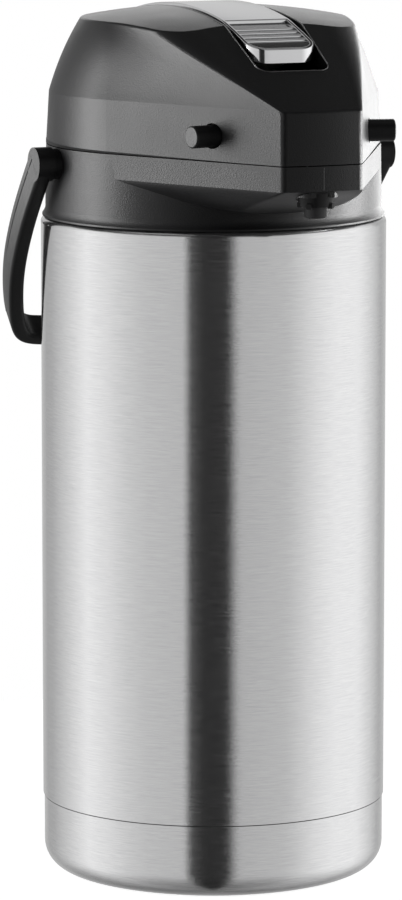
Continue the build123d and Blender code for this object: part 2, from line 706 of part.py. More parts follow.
def nozzle_tip():
    """Spout tube with a lightly flared mouth."""
    top = nozzle_top() + 1.0
    tip = turned(*path_points([
        (TIP_BORE_R, TIP_BOTTOM), (TIP_R - 0.4, TIP_BOTTOM), (TIP_R, TIP_BOTTOM + 0.6),
        (TIP_R, top), (PIPE_R + FIT, top), (PIPE_R + FIT, BAND_BOTTOM - 4.0 - FIT),
        (TIP_BORE_R - 0.9, BAND_BOTTOM - 6.5), (TIP_BORE_R, TIP_BOTTOM + 2.0),
        (TIP_BORE_R, TIP_BOTTOM)]))
    return Pos(0, -NOZZLE_Y, 0) * tip


# Bail handle


def bail_plane():
    """Plane of the handle as it leans on the shell: local y runs down and back along the arms."""
    grip = BAIL_LENGTH - BAIL_T
    lean = math.acos((SHELL_R + BAIL_REST_GAP) / math.hypot(grip, BAIL_BAR_WIDTH / 2))
    a = lean - math.atan2(BAIL_BAR_WIDTH / 2, grip)
    return Plane(origin=(0, 0, PIVOT_Z), x_dir=(1, 0, 0), z_dir=(0, math.sin(a), math.cos(a)))


def bail_outline(inset):
    """U-shaped outline: a straight hub end, arms that lean in, round corners, a bowed grip."""
    out = inset - BAIL_HUB_OUT
    left = [(out, -BAIL_WIDTH), (out, BAIL_HUB_END), (out + BAIL_TOP_IN, BAIL_TOP_AT),
            (out + BAIL_MID_IN, BAIL_MID_AT),
            (out + BAIL_END_IN + inset * 0.05, BAIL_END_AT - inset * 0.8)]
    right = [(-x, y) for x, y in left]
    lines = [Line(a, b) for a, b in zip(left, left[1:])]
    lines.append(ThreePointArc(left[-1], (0, BAIL_LENGTH - inset), right[-1]))
    lines += [Line(b, a) for a, b in zip(right, right[1:])][::-1]
    lines.append(Line(right[0], left[0]))
    face = Face(Wire(lines))
    for at, radius in ((BAIL_END_AT - inset * 0.8, BAIL_CORNER_R - inset),
                       (BAIL_MID_AT, BAIL_BEND_R), (BAIL_TOP_AT, BAIL_TURN_R),
                       (BAIL_HUB_END, BAIL_TURN_R)):
        bends = [v for v in face.vertices() if abs(v.Y - at) < 0.01]
        face = face.fillet_2d(radius, bends)
    return face


def bail_handle():
    """Rounded band between two hubs; its grip is a little narrower than its arms."""
    plane = bail_plane()
    half = BAIL_WIDTH / 2
    bar_half = BAIL_BAR_WIDTH / 2
    far = BAIL_LENGTH + 5
    band = (bail_outline(0) - bail_outline(BAIL_T)).faces()[0]
    handle = Solid.extrude(plane * Pos(0, 0, -half) * band, plane.z_dir * BAIL_WIDTH)
    handle &= side_profile([(-BAIL_WIDTH - 1, half), (far, bar_half), (far, -bar_half),
                            (-BAIL_WIDTH - 1, -half)])
    handle = fillet(long_edges(handle), BAIL_EDGE_R)
    handle &= (side_profile([(0, half), (far, half), (far, -half), (0, -half)])
               + cross_bar(half, -BAIL_HUB_OUT, BAIL_HUB_OUT, 0, PIVOT_Z))
    for sign in (-1, 1):
        ends = sorted((sign * BAIL_HUB_IN, sign * (BAIL_HUB_OUT - BAIL_T / 2)))
        handle += cross_bar(half - 0.4, ends[0], ends[1], 0, PIVOT_Z)
        ends = sorted((sign * (BAIL_HUB_IN - 1), sign * (BAIL_HUB_IN + BAIL_PIN_OUT + 0.2)))
        handle -= cross_bar(BAIL_PIN_R + RUN, ends[0], ends[1], 0, PIVOT_Z)
    return handle


def long_edges(handle):
    """The band's edges that run along its length."""
    plane = bail_plane()
    edges = []
    for edge in handle.edges():
        start, end = [plane.to_local_coords(edge.position_at(t)).Z for t in (0, 1)]
        if abs(start - end) < 1.0 and abs(start) > BAIL_BAR_WIDTH / 2 - 0.5:
            edges.append(edge)
    return edges


def side_profile(points):
    """Plate across X from (along the arm, across the arm) points of the bail's plane."""
    plane = bail_plane()
    far = BAIL_HUB_OUT + 5
    wire = Wire.make_polygon([plane.from_local_coords(Vector(-far, s, n)) for s, n in points],
                             close=True)
    return Solid.extrude(Face(wire), Vector(2 * far, 0, 0))


# Release buttons and their latches


def button_plane(sign):
    """Local z points out along the button, local x points up; it starts on the beak's side."""
    a = math.radians(BUTTON_SWEEP)
    nx, ny = beak_side()
    root_x = (HEAD_R + ny * BUTTON_Y) / nx
    return Plane(origin=(sign * root_x, -BUTTON_Y, BUTTON_Z), x_dir=(0, 0, 1),
                 z_dir=(sign * math.cos(a), -math.sin(a), 0))


def button_bar(sign, radius, start, end):
    """Round bar along the button's line; negative distances lie inside the lid."""
    bar = Cylinder(radius, end - start, align=(Align.CENTER, Align.CENTER, Align.MIN))
    return button_plane(sign).location * (Pos(0, 0, start) * bar)


def button_block(sign, start, end, half_width, z_from, z_to):
    """Box along the button's line between two heights."""
    size = (z_to - z_from, 2 * half_width, end - start)
    box = Box(*size, align=(Align.MIN, Align.CENTER, Align.MIN))
    return button_plane(sign).location * (Pos(z_from - BUTTON_Z, 0, start) * box)


def hook_bottom():
    return COLLAR_TOP - HOOK_DROP


def catch(sign):
    """Ledge inside the collar that the latch hook grips."""
    low = hook_bottom() + HOOK_BARB_H + SEAT
    ledge = button_block(sign, -CATCH_DEPTH, 0, HOOK_W / 2, low, low + CATCH_H)
    return ledge & plan_prism(BAND_BOTTOM, COLLAR_TOP, HEAD_WALL / 2)


def release_button(sign):
    """Push knob with a stop flange inside the lid and a stem for its spring."""
    knob = button_bar(sign, BUTTON_R, -BUTTON_FLANGE_AT, BUTTON_OUT)
    rim = knob.edges().filter_by(GeomType.CIRCLE).sort_by(Axis.X)
    outer_rim = rim[-1] if sign > 0 else rim[0]
    knob = fillet(outer_rim, BUTTON_EDGE_R)
    flange_back = -BUTTON_FLANGE_AT - BUTTON_FLANGE_T
    knob += button_bar(sign, BUTTON_FLANGE_R, flange_back, -BUTTON_FLANGE_AT)
    knob += button_bar(sign, BUTTON_STEM_R, flange_back - BUTTON_STEM_L, flange_back)
    return knob


def latch_hook(sign):
    """Plate on the button's stem that reaches down through the pan and ends in a barb."""
    front = -BUTTON_FLANGE_AT - BUTTON_FLANGE_T
    low = hook_bottom()
    plate = button_block(sign, front - HOOK_T, front, HOOK_W / 2, low, BUTTON_Z + HOOK_W / 2)
    plate += button_block(sign, front - 0.2, front + HOOK_BARB, HOOK_W / 2, low,
                          low + HOOK_BARB_H)
    toe = plate.edges().filter_by(lambda e: abs(e.center().Z - low) < 0.01)
    toe = toe.sort_by(Axis.X)
    toe_edge = toe[-1] if sign > 0 else toe[0]
    plate = chamfer(toe_edge, HOOK_BARB * 0.7)
    return plate - button_bar(sign, BUTTON_STEM_R + FIT, front - HOOK_T - 1, front + 1)


def button_spring(sign):
    """Coil between the latch plate and the floor of its cup."""
    start = -BUTTON_FLANGE_AT - BUTTON_FLANGE_T - HOOK_T - FIT - BUTTON_SPRING_WIRE_R
    length = BUTTON_SPRING_L - 2 * BUTTON_SPRING_WIRE_R
    coil = wire_coil(BUTTON_SPRING_R, BUTTON_SPRING_WIRE_R, length, BUTTON_SPRING_TURNS)
    return button_plane(sign).location * (Pos(0, 0, start - length) * coil)


def wire_coil(radius, wire_r, height, turns):
    """Round wire wound up from z 0."""
    path = Helix(pitch=height / turns, height=height, radius=radius)
    start = Plane(origin=path @ 0, z_dir=path % 0)
    return sweep(start * Circle(wire_r), path=path)


def spring_cup(sign):
    """Cup on the pan that takes the end of the button's spring."""
    mouth = -BUTTON_FLANGE_AT - BUTTON_FLANGE_T - BUTTON_STEM_L + 0.2
    floor = mouth - 0.2 - BUTTON_TRAVEL - SEAT
    end = floor - CUP_GUIDE_T
    foot = button_block(sign, end, mouth, CUP_GUIDE_R * 0.6, PAN_TOP - 0.5,
                        BUTTON_Z - CUP_GUIDE_R * 0.5)
    cup = foot + button_bar(sign, CUP_GUIDE_R, end, mouth)
    return cup - button_bar(sign, CUP_GUIDE_R - CUP_GUIDE_T, floor, mouth + 1)


# Lid


def slot_plan(grow=0.0):
    """Outline of the lever channel seen from above."""
    half = SLOT_HALF + grow
    front_half = SLOT_FRONT_HALF + grow
    points = [(-half, SLOT_BACK + grow), (-half, -SLOT_TAPER_AT),
              (-front_half, -SLOT_FRONT - grow), (front_half, -SLOT_FRONT - grow),
              (half, -SLOT_TAPER_AT), (half, SLOT_BACK + grow)]
    face = Face(Wire.make_polygon([(x, y, 0) for x, y in points], close=True))
    front = face.vertices().sort_by(Axis.Y)[:2]
    return face.fillet_2d(SLOT_CORNER_R + grow, front)


def upright_prism(face, bottom, top):
    """Extrude a flat outline drawn at z 0."""
    return Solid.extrude(Pos(0, 0, bottom) * face, Vector(0, 0, top - bottom))


def screw_places():
    return [(sign * x, y) for x, y in SCREW_PLACES for sign in (-1, 1)]


def soften_lid(form):
    """Round the dome's outline and the crease above the skirt."""
    at_top = [e for e in form.edges() if e.position_at(0.5).Z > CREASE_Z + LID_MID_H + 12]
    form = fillet(at_top, DOME_EDGE_R)
    crease = [e for e in form.edges() if abs(e.position_at(0.5).Z - CREASE_Z) < 0.1]
    return fillet(crease, CREASE_EDGE_R)


def lid_shell():
    """Drop-shaped cover with the lever channel, hinge knuckle and screw bosses."""
    outer = soften_lid(lid_form())
    solid = outer
    knuckle = cross_bar(HINGE_R, -HINGE_LID_HALF, HINGE_LID_HALF, HINGE_Y, HINGE_Z)
    web = [(HINGE_Y - 9.0, HINGE_Z), (HINGE_Y, HINGE_Z), (HINGE_Y + HINGE_R * 0.86,
            HINGE_Z + HINGE_R * 0.5), (HINGE_Y - 5.0, HINGE_Z + 14.0),
           (HINGE_Y - 9.0, HINGE_Z + 16.0)]
    solid += knuckle + side_plate(web, -HINGE_LID_HALF, HINGE_LID_HALF)
    solid -= lid_form(HEAD_WALL, HEAD_WALL * 0.6)
    rim_band = outer - Pos(0, 0, -SLOT_RIM_H) * outer
    rim = upright_prism(slot_plan(SLOT_RIM_T), CREASE_Z - 5, LID_TOP + 5) & rim_band
    solid += rim
    solid -= upright_prism(slot_plan(), CREASE_Z, LID_TOP + 5)
    bosses = []
    for sign in (-1, 1):
        ends = sorted((sign * SLOT_HALF, sign * (SLOT_HALF + 4.0)))
        bosses.append(cross_bar(LEVER_LUG_R, ends[0], ends[1], LEVER_PIVOT_Y, LEVER_PIVOT_Z))
        bosses.append(block(ends[0], ends[1], LEVER_PIVOT_Y - LEVER_LUG_R,
                            LEVER_PIVOT_Y + LEVER_LUG_R, LEVER_PIVOT_Z, LID_TOP))
    for x, y in screw_places():
        bosses.append(post(SCREW_BOSS_R, x, y, PAN_TOP, LID_TOP))
    for boss in bosses:
        solid += boss & outer
    for x, y in screw_places():
        solid -= post(SCREW_R + FIT, x, y, PAN_TOP - 1, PAN_TOP + SCREW_L)
    for sign in (-1, 1):
        solid -= button_bar(sign, BUTTON_HOLE_R, -HEAD_WALL * 2.2, BUTTON_OUT)
    solid -= cross_bar(LEVER_PIN_R + FIT, -SLOT_HALF - 3.2, SLOT_HALF + 3.2, LEVER_PIVOT_Y,
                       LEVER_PIVOT_Z)
    solid -= cross_bar(HINGE_PIN_R + RUN, -HINGE_LID_HALF - 1, HINGE_LID_HALF + 1, HINGE_Y,
                       HINGE_Z)
    return solid


def lid_pan():
    """Floor of the lid: bellows seat, air ports, latch slots and spring cups."""
    pan = plan_prism(PAN_BOTTOM, PAN_TOP, HEAD_WALL + 0.5)
    pan += ring(BELLOWS_R + 0.5, BELLOWS_R + 2.5, PAN_TOP - 0.5, PAN_TOP + 4.0)
    for sign in (-1, 1):
        front = -BUTTON_FLANGE_AT - BUTTON_FLANGE_T
        pan += spring_cup(sign)
        pan -= button_block(sign, front - HOOK_T - BUTTON_TRAVEL - 0.5, front + HOOK_BARB + 0.3,
                            HOOK_W / 2 + 0.4, PAN_BOTTOM - 1, PAN_TOP + 1)
    for x, y in screw_places():
        pan -= post(SCREW_R + FIT, x, y, PAN_BOTTOM - 1, PAN_TOP + 1)
    pan -= ring(0, 1.3, PAN_BOTTOM - 1, PAN_TOP + 1)
    for hole in range(5):
        a = math.radians(72 * hole)
        pan -= post(1.7, PORT_R * math.cos(a), PORT_R * math.sin(a), PAN_BOTTOM - 1, PAN_TOP + 1)
    return pan


def lid_seal():
    """Rubber ring that the closed lid presses on the stem head's rim."""
    flat = ring(SEAL_R, SEAL_R + SEAL_W, SEAL_BOTTOM + SEAL_T / 3, PAN_BOTTOM)
    bead = ring(SEAL_R + SEAL_W * 0.3, SEAL_R + SEAL_W * 0.7, SEAL_BOTTOM, PAN_BOTTOM - SEAL_T / 3)
    return flat + bead


def mushroom_valve(x, y, seat_z, disc_r, disc_t, stalk_l):
    """Rubber disc below a seat, held by a stalk with a bulb above it."""
    stalk_top = seat_z + stalk_l
    body = turned(*path_points([
        (0, seat_z - disc_t), (disc_r * 0.6, seat_z - disc_t), (disc_r, seat_z - disc_t * 0.4),
        (disc_r, seat_z), (1.25, seat_z), (1.25, stalk_top), (2.0, stalk_top),
        (1.0, stalk_top + 1.8), (0, stalk_top + 1.8), (0, seat_z - disc_t)]))
    return Pos(x, y, 0) * body


def outlet_valve():
    return mushroom_valve(0, 0, PAN_BOTTOM, VALVE_R - 4.0, VALVE_T, PAN_T + FIT)


def lid_screw(x, y):
    head = post(SCREW_HEAD_R, x, y, PAN_BOTTOM - SCREW_HEAD_H, PAN_BOTTOM)
    head -= block(x - SCREW_HEAD_R * 0.6, x + SCREW_HEAD_R * 0.6, y - 0.4, y + 0.4,
                  PAN_BOTTOM - SCREW_HEAD_H - 1, PAN_BOTTOM - SCREW_HEAD_H + 0.9)
    return head + post(SCREW_R, x, y, PAN_BOTTOM, PAN_BOTTOM + SCREW_L)


# Pump


def bellows_top():
    return PAN_TOP + BELLOWS_H


def bellows():
    """Rubber bellows: open at the foot, closed at the top round the intake valve."""
    step = BELLOWS_H / (2 * BELLOWS_FOLDS)
    top = bellows_top()
    wall = BELLOWS_T * 1.5
    outside = []
    inside = []
    for i in range(2 * BELLOWS_FOLDS + 1):
        radius = BELLOWS_R if i % 2 else BELLOWS_IN_R
        z = PAN_TOP + step * i
        outside.append((radius, z))
        inside.append((radius - wall, z))
    inside[-1] = (inside[-1][0], top - BELLOWS_T)
    hole = 6.0
    points = outside + [(hole, top), (hole, top - BELLOWS_T)] + inside[::-1] + outside[:1]
    return turned(*path_points(points))


def bellows_spring():
    low = PAN_TOP + SPRING_WIRE_R + FIT
    height = BELLOWS_H - BELLOWS_T - 2 * SPRING_WIRE_R - 2 * FIT
    return Pos(0, 0, low) * wire_coil(SPRING_R, SPRING_WIRE_R, height, SPRING_TURNS)


def pusher():
    """Plate on the bellows with a domed post that the lever pushes."""
    low = bellows_top()
    tip = PRESS_Z - PUSHER_GAP
    body = ring(0, PUSHER_R, low, low + PUSHER_T)
    rise = ring(0, PUSHER_POST_R, low + PUSHER_T - 0.2, tip)
    dome = Pos(0, 0, tip - PUSHER_DOME_R) * Sphere(PUSHER_DOME_R)
    body += rise & (dome + ring(0, PUSHER_POST_R + 1, low, tip - PUSHER_DOME_R * 0.25))
    body -= ring(0, PUSHER_POST_R - 3.0, low + PUSHER_T, low + PUSHER_T + 4.0)
    body -= cross_bar(1.5, -PUSHER_POST_R - 1, PUSHER_POST_R + 1, 0, low + PUSHER_T + 2.0)
    body -= ring(0, 1.25 + FIT, low - 1, low + PUSHER_T + 1)
    for hole in range(4):
        a = math.radians(90 * hole + 45)
        body -= post(1.0, 3.8 * math.cos(a), 3.8 * math.sin(a), low - 1, low + PUSHER_T + 1)
    return body


def intake_valve():
    return mushroom_valve(0, 0, bellows_top(), 5.6, VALVE_T, PUSHER_T + FIT)


# Lever


LEVER_TOP_POINTS = (
    (LEVER_BACK, LID_TOP - 4.6),
    (0.0, LID_TOP + LEVER_PROUD),
    (-LEVER_BEND_AT, LID_TOP - LEVER_BEND_DROP),
    (-SLOPE_END - LEVER_MID_AHEAD, LID_TOP - LEVER_MID_DROP),
    (-LEVER_TIP, LID_TOP - LEVER_TIP_DROP + 0.6),
)


def lever_profile(drop=0.0, deep=0.0):
    """Side view of the lever, or of a hollow when it is lowered and made deeper."""
    back, crown, bend, mid, tip = [(y, z - drop) for y, z in LEVER_TOP_POINTS]
    chin = (tip[0] + 3.2, tip[1] - LEVER_TIP_H)
    belly = [(chin[0] + 4.5, chin[1]), (bend[0], bend[1] - LEVER_SKIRT),
             (crown[0], crown[1] - LEVER_SKIRT - 0.4), (LEVER_PIVOT_Y - 7.0, LEVER_PIVOT_Z + 1.5),
             (back[0], LEVER_PIVOT_Z + 2.0)]
    belly = [(y, z - deep) for y, z in belly]
    if deep:
        chin = (tip[0], tip[1] - LEVER_TIP_H - deep)

    def at(point):
        return (0, point[0], point[1])

    edges = [ThreePointArc(at(back), at(crown), at(bend)),
             ThreePointArc(at(bend), at(mid), at(tip)), Line(at(tip), at(chin))]
    low = [chin] + belly
    edges += [Line(at(a), at(b)) for a, b in zip(low, low[1:])]
    edges.append(Line(at(belly[-1]), at(back)))
    return Face(Wire(edges))


def lever_slab(half_width, **shape):
    """Extrude the lever's side view to both sides of the middle."""
    return Solid.extrude(Pos(-half_width, 0, 0) * lever_profile(**shape),
                         Vector(2 * half_width, 0, 0))


def lever_plan(inset=0.0):
    """Lever seen from above, with its rounded tip."""
    half = LEVER_HALF - inset
    tip_half = LEVER_TIP_HALF - inset * 0.6
    front = -LEVER_TIP - 1 + 2 * inset
    points = [(-half, LEVER_BACK - inset), (-half, -LEVER_SHOULDER_AT), (-tip_half, front),
              (tip_half, front), (half, -LEVER_SHOULDER_AT), (half, LEVER_BACK - inset)]
    face = Face(Wire.make_polygon([(x, y, 0) for x, y in points], close=True))
    shoulders = [v for v in face.vertices() if abs(v.Y + LEVER_SHOULDER_AT) < 0.01]
    return face.fillet_2d(LEVER_SHOULDER_R, shoulders)


def grip_plan(inset=0.0):
    """Finger pad seen from above."""
    half = GRIP_HALF - inset
    points = [(-half, -LEVER_BEND_AT - inset), (-half, -GRIP_FRONT + inset),
              (half, -GRIP_FRONT + inset), (half, -LEVER_BEND_AT - inset)]
    face = Face(Wire.make_polygon([(x, y, 0) for x, y in points], close=True))
    front = face.vertices().sort_by(Axis.Y)[:2]
    return face.fillet_2d(GRIP_CORNER_R - inset, front)


def lever_pivot_hole(half, radius):
    return cross_bar(radius, -half, half, LEVER_PIVOT_Y, LEVER_PIVOT_Z)


def lever_rim(body):
    """Edges round the lever's upper face, without its back end."""
    edges = []
    for edge in body.edges():
        middle = edge.position_at(0.5)
        floor = LEVER_TOP_POINTS[-1][1] - 1.5 if middle.Y < -LEVER_BEND_AT else LID_TOP - 6.0
        if middle.Z > floor and abs(middle.X) > 1.0 and middle.Y < LEVER_BACK - 1.0:
            edges.append(edge)
    return edges


def lever():
    """Metal channel with a rounded tip, a recess for the finger pad and two pivot lugs."""
    slab = lever_slab(LEVER_HALF)
    body = slab & upright_prism(lever_plan(), CREASE_Z, LID_TOP + 5)
    body = fillet(lever_rim(body), LEVER_EDGE_R)
    recess = slab - Pos(0, 0, -GRIP_T) * slab
    body -= recess & upright_prism(grip_plan(), CREASE_Z, LID_TOP + 5)
    hollow = lever_slab(LEVER_HALF, drop=LEVER_T, deep=20.0)
    body -= hollow & upright_prism(lever_plan(LEVER_SIDE_T), CREASE_Z - 20, LID_TOP + 5)
    for sign in (-1, 1):
        ends = sorted((sign * LEVER_HALF, sign * (LEVER_HALF - LEVER_SIDE_T)))
        body += cross_bar(LEVER_LUG_R, ends[0], ends[1], LEVER_PIVOT_Y, LEVER_PIVOT_Z)
    return body - lever_pivot_hole(LEVER_HALF + 1, LEVER_PIN_R + RUN)


def lever_pin():
    return lever_pivot_hole(SLOT_HALF + 3.0, LEVER_PIN_R)


def top_at(y):
    """Height of the lever's upper face in front of its bend."""
    (y1, z1), (y2, z2), (y3, z3) = LEVER_TOP_POINTS[2:]
    a = z1 * (y - y2) * (y - y3) / ((y1 - y2) * (y1 - y3))
    b = z2 * (y - y1) * (y - y3) / ((y2 - y1) * (y2 - y3))
    c = z3 * (y - y1) * (y - y2) / ((y3 - y1) * (y3 - y2))
    return a + b + c


def lever_grip():
    """Ribbed finger pad let into the lever."""
    slab = lever_slab(LEVER_HALF, drop=GRIP_T * 0.5)
    plate = slab - Pos(0, 0, -GRIP_T * 0.5 + FIT) * slab
    plate &= upright_prism(grip_plan(FIT), CREASE_Z, LID_TOP + 5)
    for rib in range(GRIP_RIBS):
        y = -SLOPE_END - GRIP_RIB_AHEAD - GRIP_RIB_PITCH * rib
        bar = cross_bar(GRIP_RIB_R, -GRIP_HALF + 0.6, GRIP_HALF - 0.6, y,
                        top_at(y) - GRIP_RIB_R * 0.9)
        plate += bar & (upright_prism(grip_plan(0.4), CREASE_Z, LID_TOP + 5)
                        & lever_slab(LEVER_HALF, drop=-2.0)
                        - lever_slab(LEVER_HALF, drop=GRIP_T - FIT))
    return plate


def lever_carrier():
    """Plastic insert under the lever, with the pad that bears on the pusher."""
    under = LEVER_T + FIT
    half = LEVER_HALF - LEVER_SIDE_T - 0.2
    skin = lever_slab(half, drop=under)
    skin -= lever_slab(LEVER_HALF, drop=under + 2.4, deep=30.0)
    skin &= block(-LEVER_HALF, LEVER_HALF, -LEVER_SHOULDER_AT + 4.0, LEVER_PIVOT_Y - 8.0,
                  CREASE_Z, LID_TOP)
    pad = block(-8.0, 8.0, -11.0, 11.0, PRESS_Z, LID_TOP + LEVER_PROUD - under - 1.5)
    for x in (-10.0, 10.0):
        web = block(x - 0.9, x + 0.9, -LEVER_BEND_AT + 7.7, LEVER_PIVOT_Y - 14.0, PRESS_Z + 1.0,
                    LID_TOP)
        skin += web & lever_slab(half, drop=under)
    return skin + pad


def foot_ring():
    """Rubber ring under the base cup."""
    return ring(FOOT_R - FOOT_W, FOOT_R, 0, FOOT_H)


def build():
    """Write every node."""
    put("base_foot_ring", foot_ring())
    put("base_cup", base_cup())
    put("base_support", base_support())
    put("flask_cushion", flask_cushion())
    put("outer_shell", outer_shell())
    put("flask_outer_wall", flask_outer_wall())
    put("flask_liner", flask_liner())
    put("neck_gasket", neck_gasket())
    put("collar", collar())
    put("stem_head", stem_head())
    put("stem_gasket", stem_gasket())
    put("dip_tube", dip_tube())
    put("spout_pipe", spout_pipe())
    put("nozzle_ring", nozzle_ring())
    put("nozzle_tip", nozzle_tip())
    put("lid_hinge_pin", hinge_pin())
    put("bail_pins", bail_pin(-1), bail_pin(1))
    put("bail_handle", bail_handle())
    put("lid_shell", lid_shell())
    put("lid_pan", lid_pan())
    put("lid_seal", lid_seal())
    put("outlet_valve", outlet_valve())
    put("lid_screws", *[lid_screw(x, y) for x, y in screw_places()])
    put("lever_pin", lever_pin())
    put("bellows", bellows())
    put("bellows_spring", bellows_spring())
    put("pusher", pusher())
    put("intake_valve", intake_valve())
    put("lever", lever())
    put("lever_grip", lever_grip())
    put("lever_carrier", lever_carrier())
    for side, sign in (("left", -1), ("right", 1)):
        put("release_button_" + side, release_button(sign))
        put("latch_hook_" + side, latch_hook(sign))
        put("button_spring_" + side, button_spring(sign))


build()
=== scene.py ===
import json
import math

import bmesh
import bpy
from mathutils import Matrix, Vector


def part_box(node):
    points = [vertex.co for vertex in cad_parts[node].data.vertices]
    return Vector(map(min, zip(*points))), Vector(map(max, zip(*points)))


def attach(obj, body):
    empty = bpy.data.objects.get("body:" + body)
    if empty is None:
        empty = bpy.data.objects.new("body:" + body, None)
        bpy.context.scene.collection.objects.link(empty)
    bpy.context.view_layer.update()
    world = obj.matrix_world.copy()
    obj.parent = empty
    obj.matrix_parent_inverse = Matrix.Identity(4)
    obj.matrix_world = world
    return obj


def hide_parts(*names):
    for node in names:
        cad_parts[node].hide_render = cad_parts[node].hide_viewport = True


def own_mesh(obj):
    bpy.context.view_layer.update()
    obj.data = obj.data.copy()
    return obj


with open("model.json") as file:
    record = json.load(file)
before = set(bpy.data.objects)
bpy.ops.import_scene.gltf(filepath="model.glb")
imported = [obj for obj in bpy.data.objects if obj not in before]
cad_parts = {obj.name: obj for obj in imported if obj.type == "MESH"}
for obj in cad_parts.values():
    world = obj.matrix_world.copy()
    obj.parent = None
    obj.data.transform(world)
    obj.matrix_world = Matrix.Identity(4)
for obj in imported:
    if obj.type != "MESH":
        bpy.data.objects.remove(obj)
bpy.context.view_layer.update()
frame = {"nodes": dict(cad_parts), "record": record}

# Camera, fitted to the photograph
VIEW_AZIMUTH = math.radians(-22.3)
VIEW_ELEVATION = math.radians(8.584)
VIEW_DISTANCE = 2.5252
VIEW_LENS = 209.94
VIEW_TARGET = (-0.0055124, 0.0022608, 0.20394)


# Node helpers


def new_node(tree, kind, **values):
    """Add a node and set its properties."""
    node = tree.nodes.new(kind)
    for key, value in values.items():
        setattr(node, key, value)
    return node


def math_node(tree, operation, first, second=None, clamp=False):
    """Math node on sockets or numbers; gives its output socket."""
    node = new_node(tree, "ShaderNodeMath", operation=operation, use_clamp=clamp)
    for index, value in enumerate((first, second)):
        if value is None:
            continue
        if isinstance(value, (int, float)):
            node.inputs[index].default_value = value
        else:
            tree.links.new(value, node.inputs[index])
    return node.outputs[0]


def ramp(tree, value, stops):
    """Grey ramp over (position, grey) stops."""
    node = new_node(tree, "ShaderNodeValToRGB")
    elements = node.color_ramp.elements
    while len(elements) < len(stops):
        elements.new(0.5)
    for element, (position, grey) in zip(elements, stops):
        element.position = position
        element.color = (grey, grey, grey, 1.0)
    tree.links.new(value, node.inputs[0])
    return node.outputs[0]


def noise(tree, vector, scale, detail=2.0, roughness=0.5):
    """Soft noise at a place; gives its value."""
    node = new_node(tree, "ShaderNodeTexNoise")
    node.inputs["Scale"].default_value = scale
    node.inputs["Detail"].default_value = detail
    node.inputs["Roughness"].default_value = roughness
    tree.links.new(vector, node.inputs["Vector"])
    return node.outputs["Fac"]


def new_group(name, sockets_in, sockets_out):
    """Shader node group with float inputs and outputs; gives the tree and its two ends."""
    tree = bpy.data.node_groups.new(name, "ShaderNodeTree")
    for label, value in sockets_in:
        socket = tree.interface.new_socket(label, in_out="INPUT", socket_type="NodeSocketFloat")
        socket.default_value = value
    for label in sockets_out:
        tree.interface.new_socket(label, in_out="OUTPUT", socket_type="NodeSocketFloat")
    return tree, tree.nodes.new("NodeGroupInput"), tree.nodes.new("NodeGroupOutput")


# Long and short hairs: how often they change round the body, and how close they lie
HAIRS = ((5.0, 1.0), (14.0, 2.1))
HAIR_ROUGHNESS = 0.6
HAIR_CUT = 0.70
HAIR_CONTRAST = 1.7


def brush_group():
    """Fine lines that run round the body: hairs of two lengths."""
    tree, given, result = new_group("brush_lines", (("Hair", 900.0),), ("Lines",))
    spot = new_node(tree, "ShaderNodeTexCoord").outputs["Object"]
    split = new_node(tree, "ShaderNodeSeparateXYZ")
    tree.links.new(spot, split.inputs[0])
    turn = math_node(tree, "ARCTAN2", split.outputs[1], split.outputs[0])
    height = math_node(tree, "MULTIPLY", split.outputs[2], given.outputs["Hair"])
    hairs = []
    for around, closeness in HAIRS:
        join = new_node(tree, "ShaderNodeCombineXYZ")
        tree.links.new(math_node(tree, "MULTIPLY", turn, around), join.inputs[0])
        tree.links.new(math_node(tree, "MULTIPLY", height, closeness), join.inputs[1])
        hairs.append(noise(tree, join.outputs[0], 1.0, roughness=HAIR_ROUGHNESS))
    both = math_node(tree, "SUBTRACT", math_node(tree, "ADD", hairs[0], hairs[1]), HAIR_CUT)
    tree.links.new(math_node(tree, "MULTIPLY", both, HAIR_CONTRAST, clamp=True),
                   result.inputs["Lines"])
    return tree


FINE_SHARE = 0.6
SWELL_SCALE = 35.0
SWELL_DETAIL = 3.0


def grain_group():
    """Moulded texture: small cells with softer swells under them."""
    tree, given, result = new_group("moulded_grain", (("Scale", 1500.0),), ("Grain", "Swell"))
    spot = new_node(tree, "ShaderNodeTexCoord").outputs["Object"]
    cells = new_node(tree, "ShaderNodeTexVoronoi", feature="SMOOTH_F1")
    tree.links.new(spot, cells.inputs["Vector"])
    tree.links.new(given.outputs["Scale"], cells.inputs["Scale"])
    fine = new_node(tree, "ShaderNodeTexNoise")
    tree.links.new(spot, fine.inputs["Vector"])
    tree.links.new(math_node(tree, "MULTIPLY", given.outputs["Scale"], FINE_SHARE),
                   fine.inputs["Scale"])
    height = math_node(tree, "MULTIPLY", math_node(tree, "ADD", cells.outputs["Distance"],
                                                   fine.outputs["Fac"]), 0.5)
    tree.links.new(height, result.inputs["Grain"])
    tree.links.new(noise(tree, spot, SWELL_SCALE, SWELL_DETAIL), result.inputs["Swell"])
    return tree


GROUPS = {"brush": brush_group(), "grain": grain_group()}


def use_group(tree, name, **values):
    """Place a shared effect, with this material's own values."""
    node = new_node(tree, "ShaderNodeGroup", node_tree=GROUPS[name])
    for key, value in values.items():
        node.inputs[key].default_value = value
    return node


def between(tree, mask, low, high):
    """Map a 0 to 1 mask onto a range."""
    node = new_node(tree, "ShaderNodeMapRange")
    node.inputs["To Min"].default_value = low
    node.inputs["To Max"].default_value = high
    tree.links.new(mask, node.inputs["Value"])
    return node.outputs[0]


def tint(tree, mask, dark, light):
    """Mix two colours by a mask."""
    node = new_node(tree, "ShaderNodeMix", data_type="RGBA")
    node.inputs["A"].default_value = (*dark, 1.0)
    node.inputs["B"].default_value = (*light, 1.0)
    tree.links.new(mask, node.inputs["Factor"])
    return node.outputs["Result"]


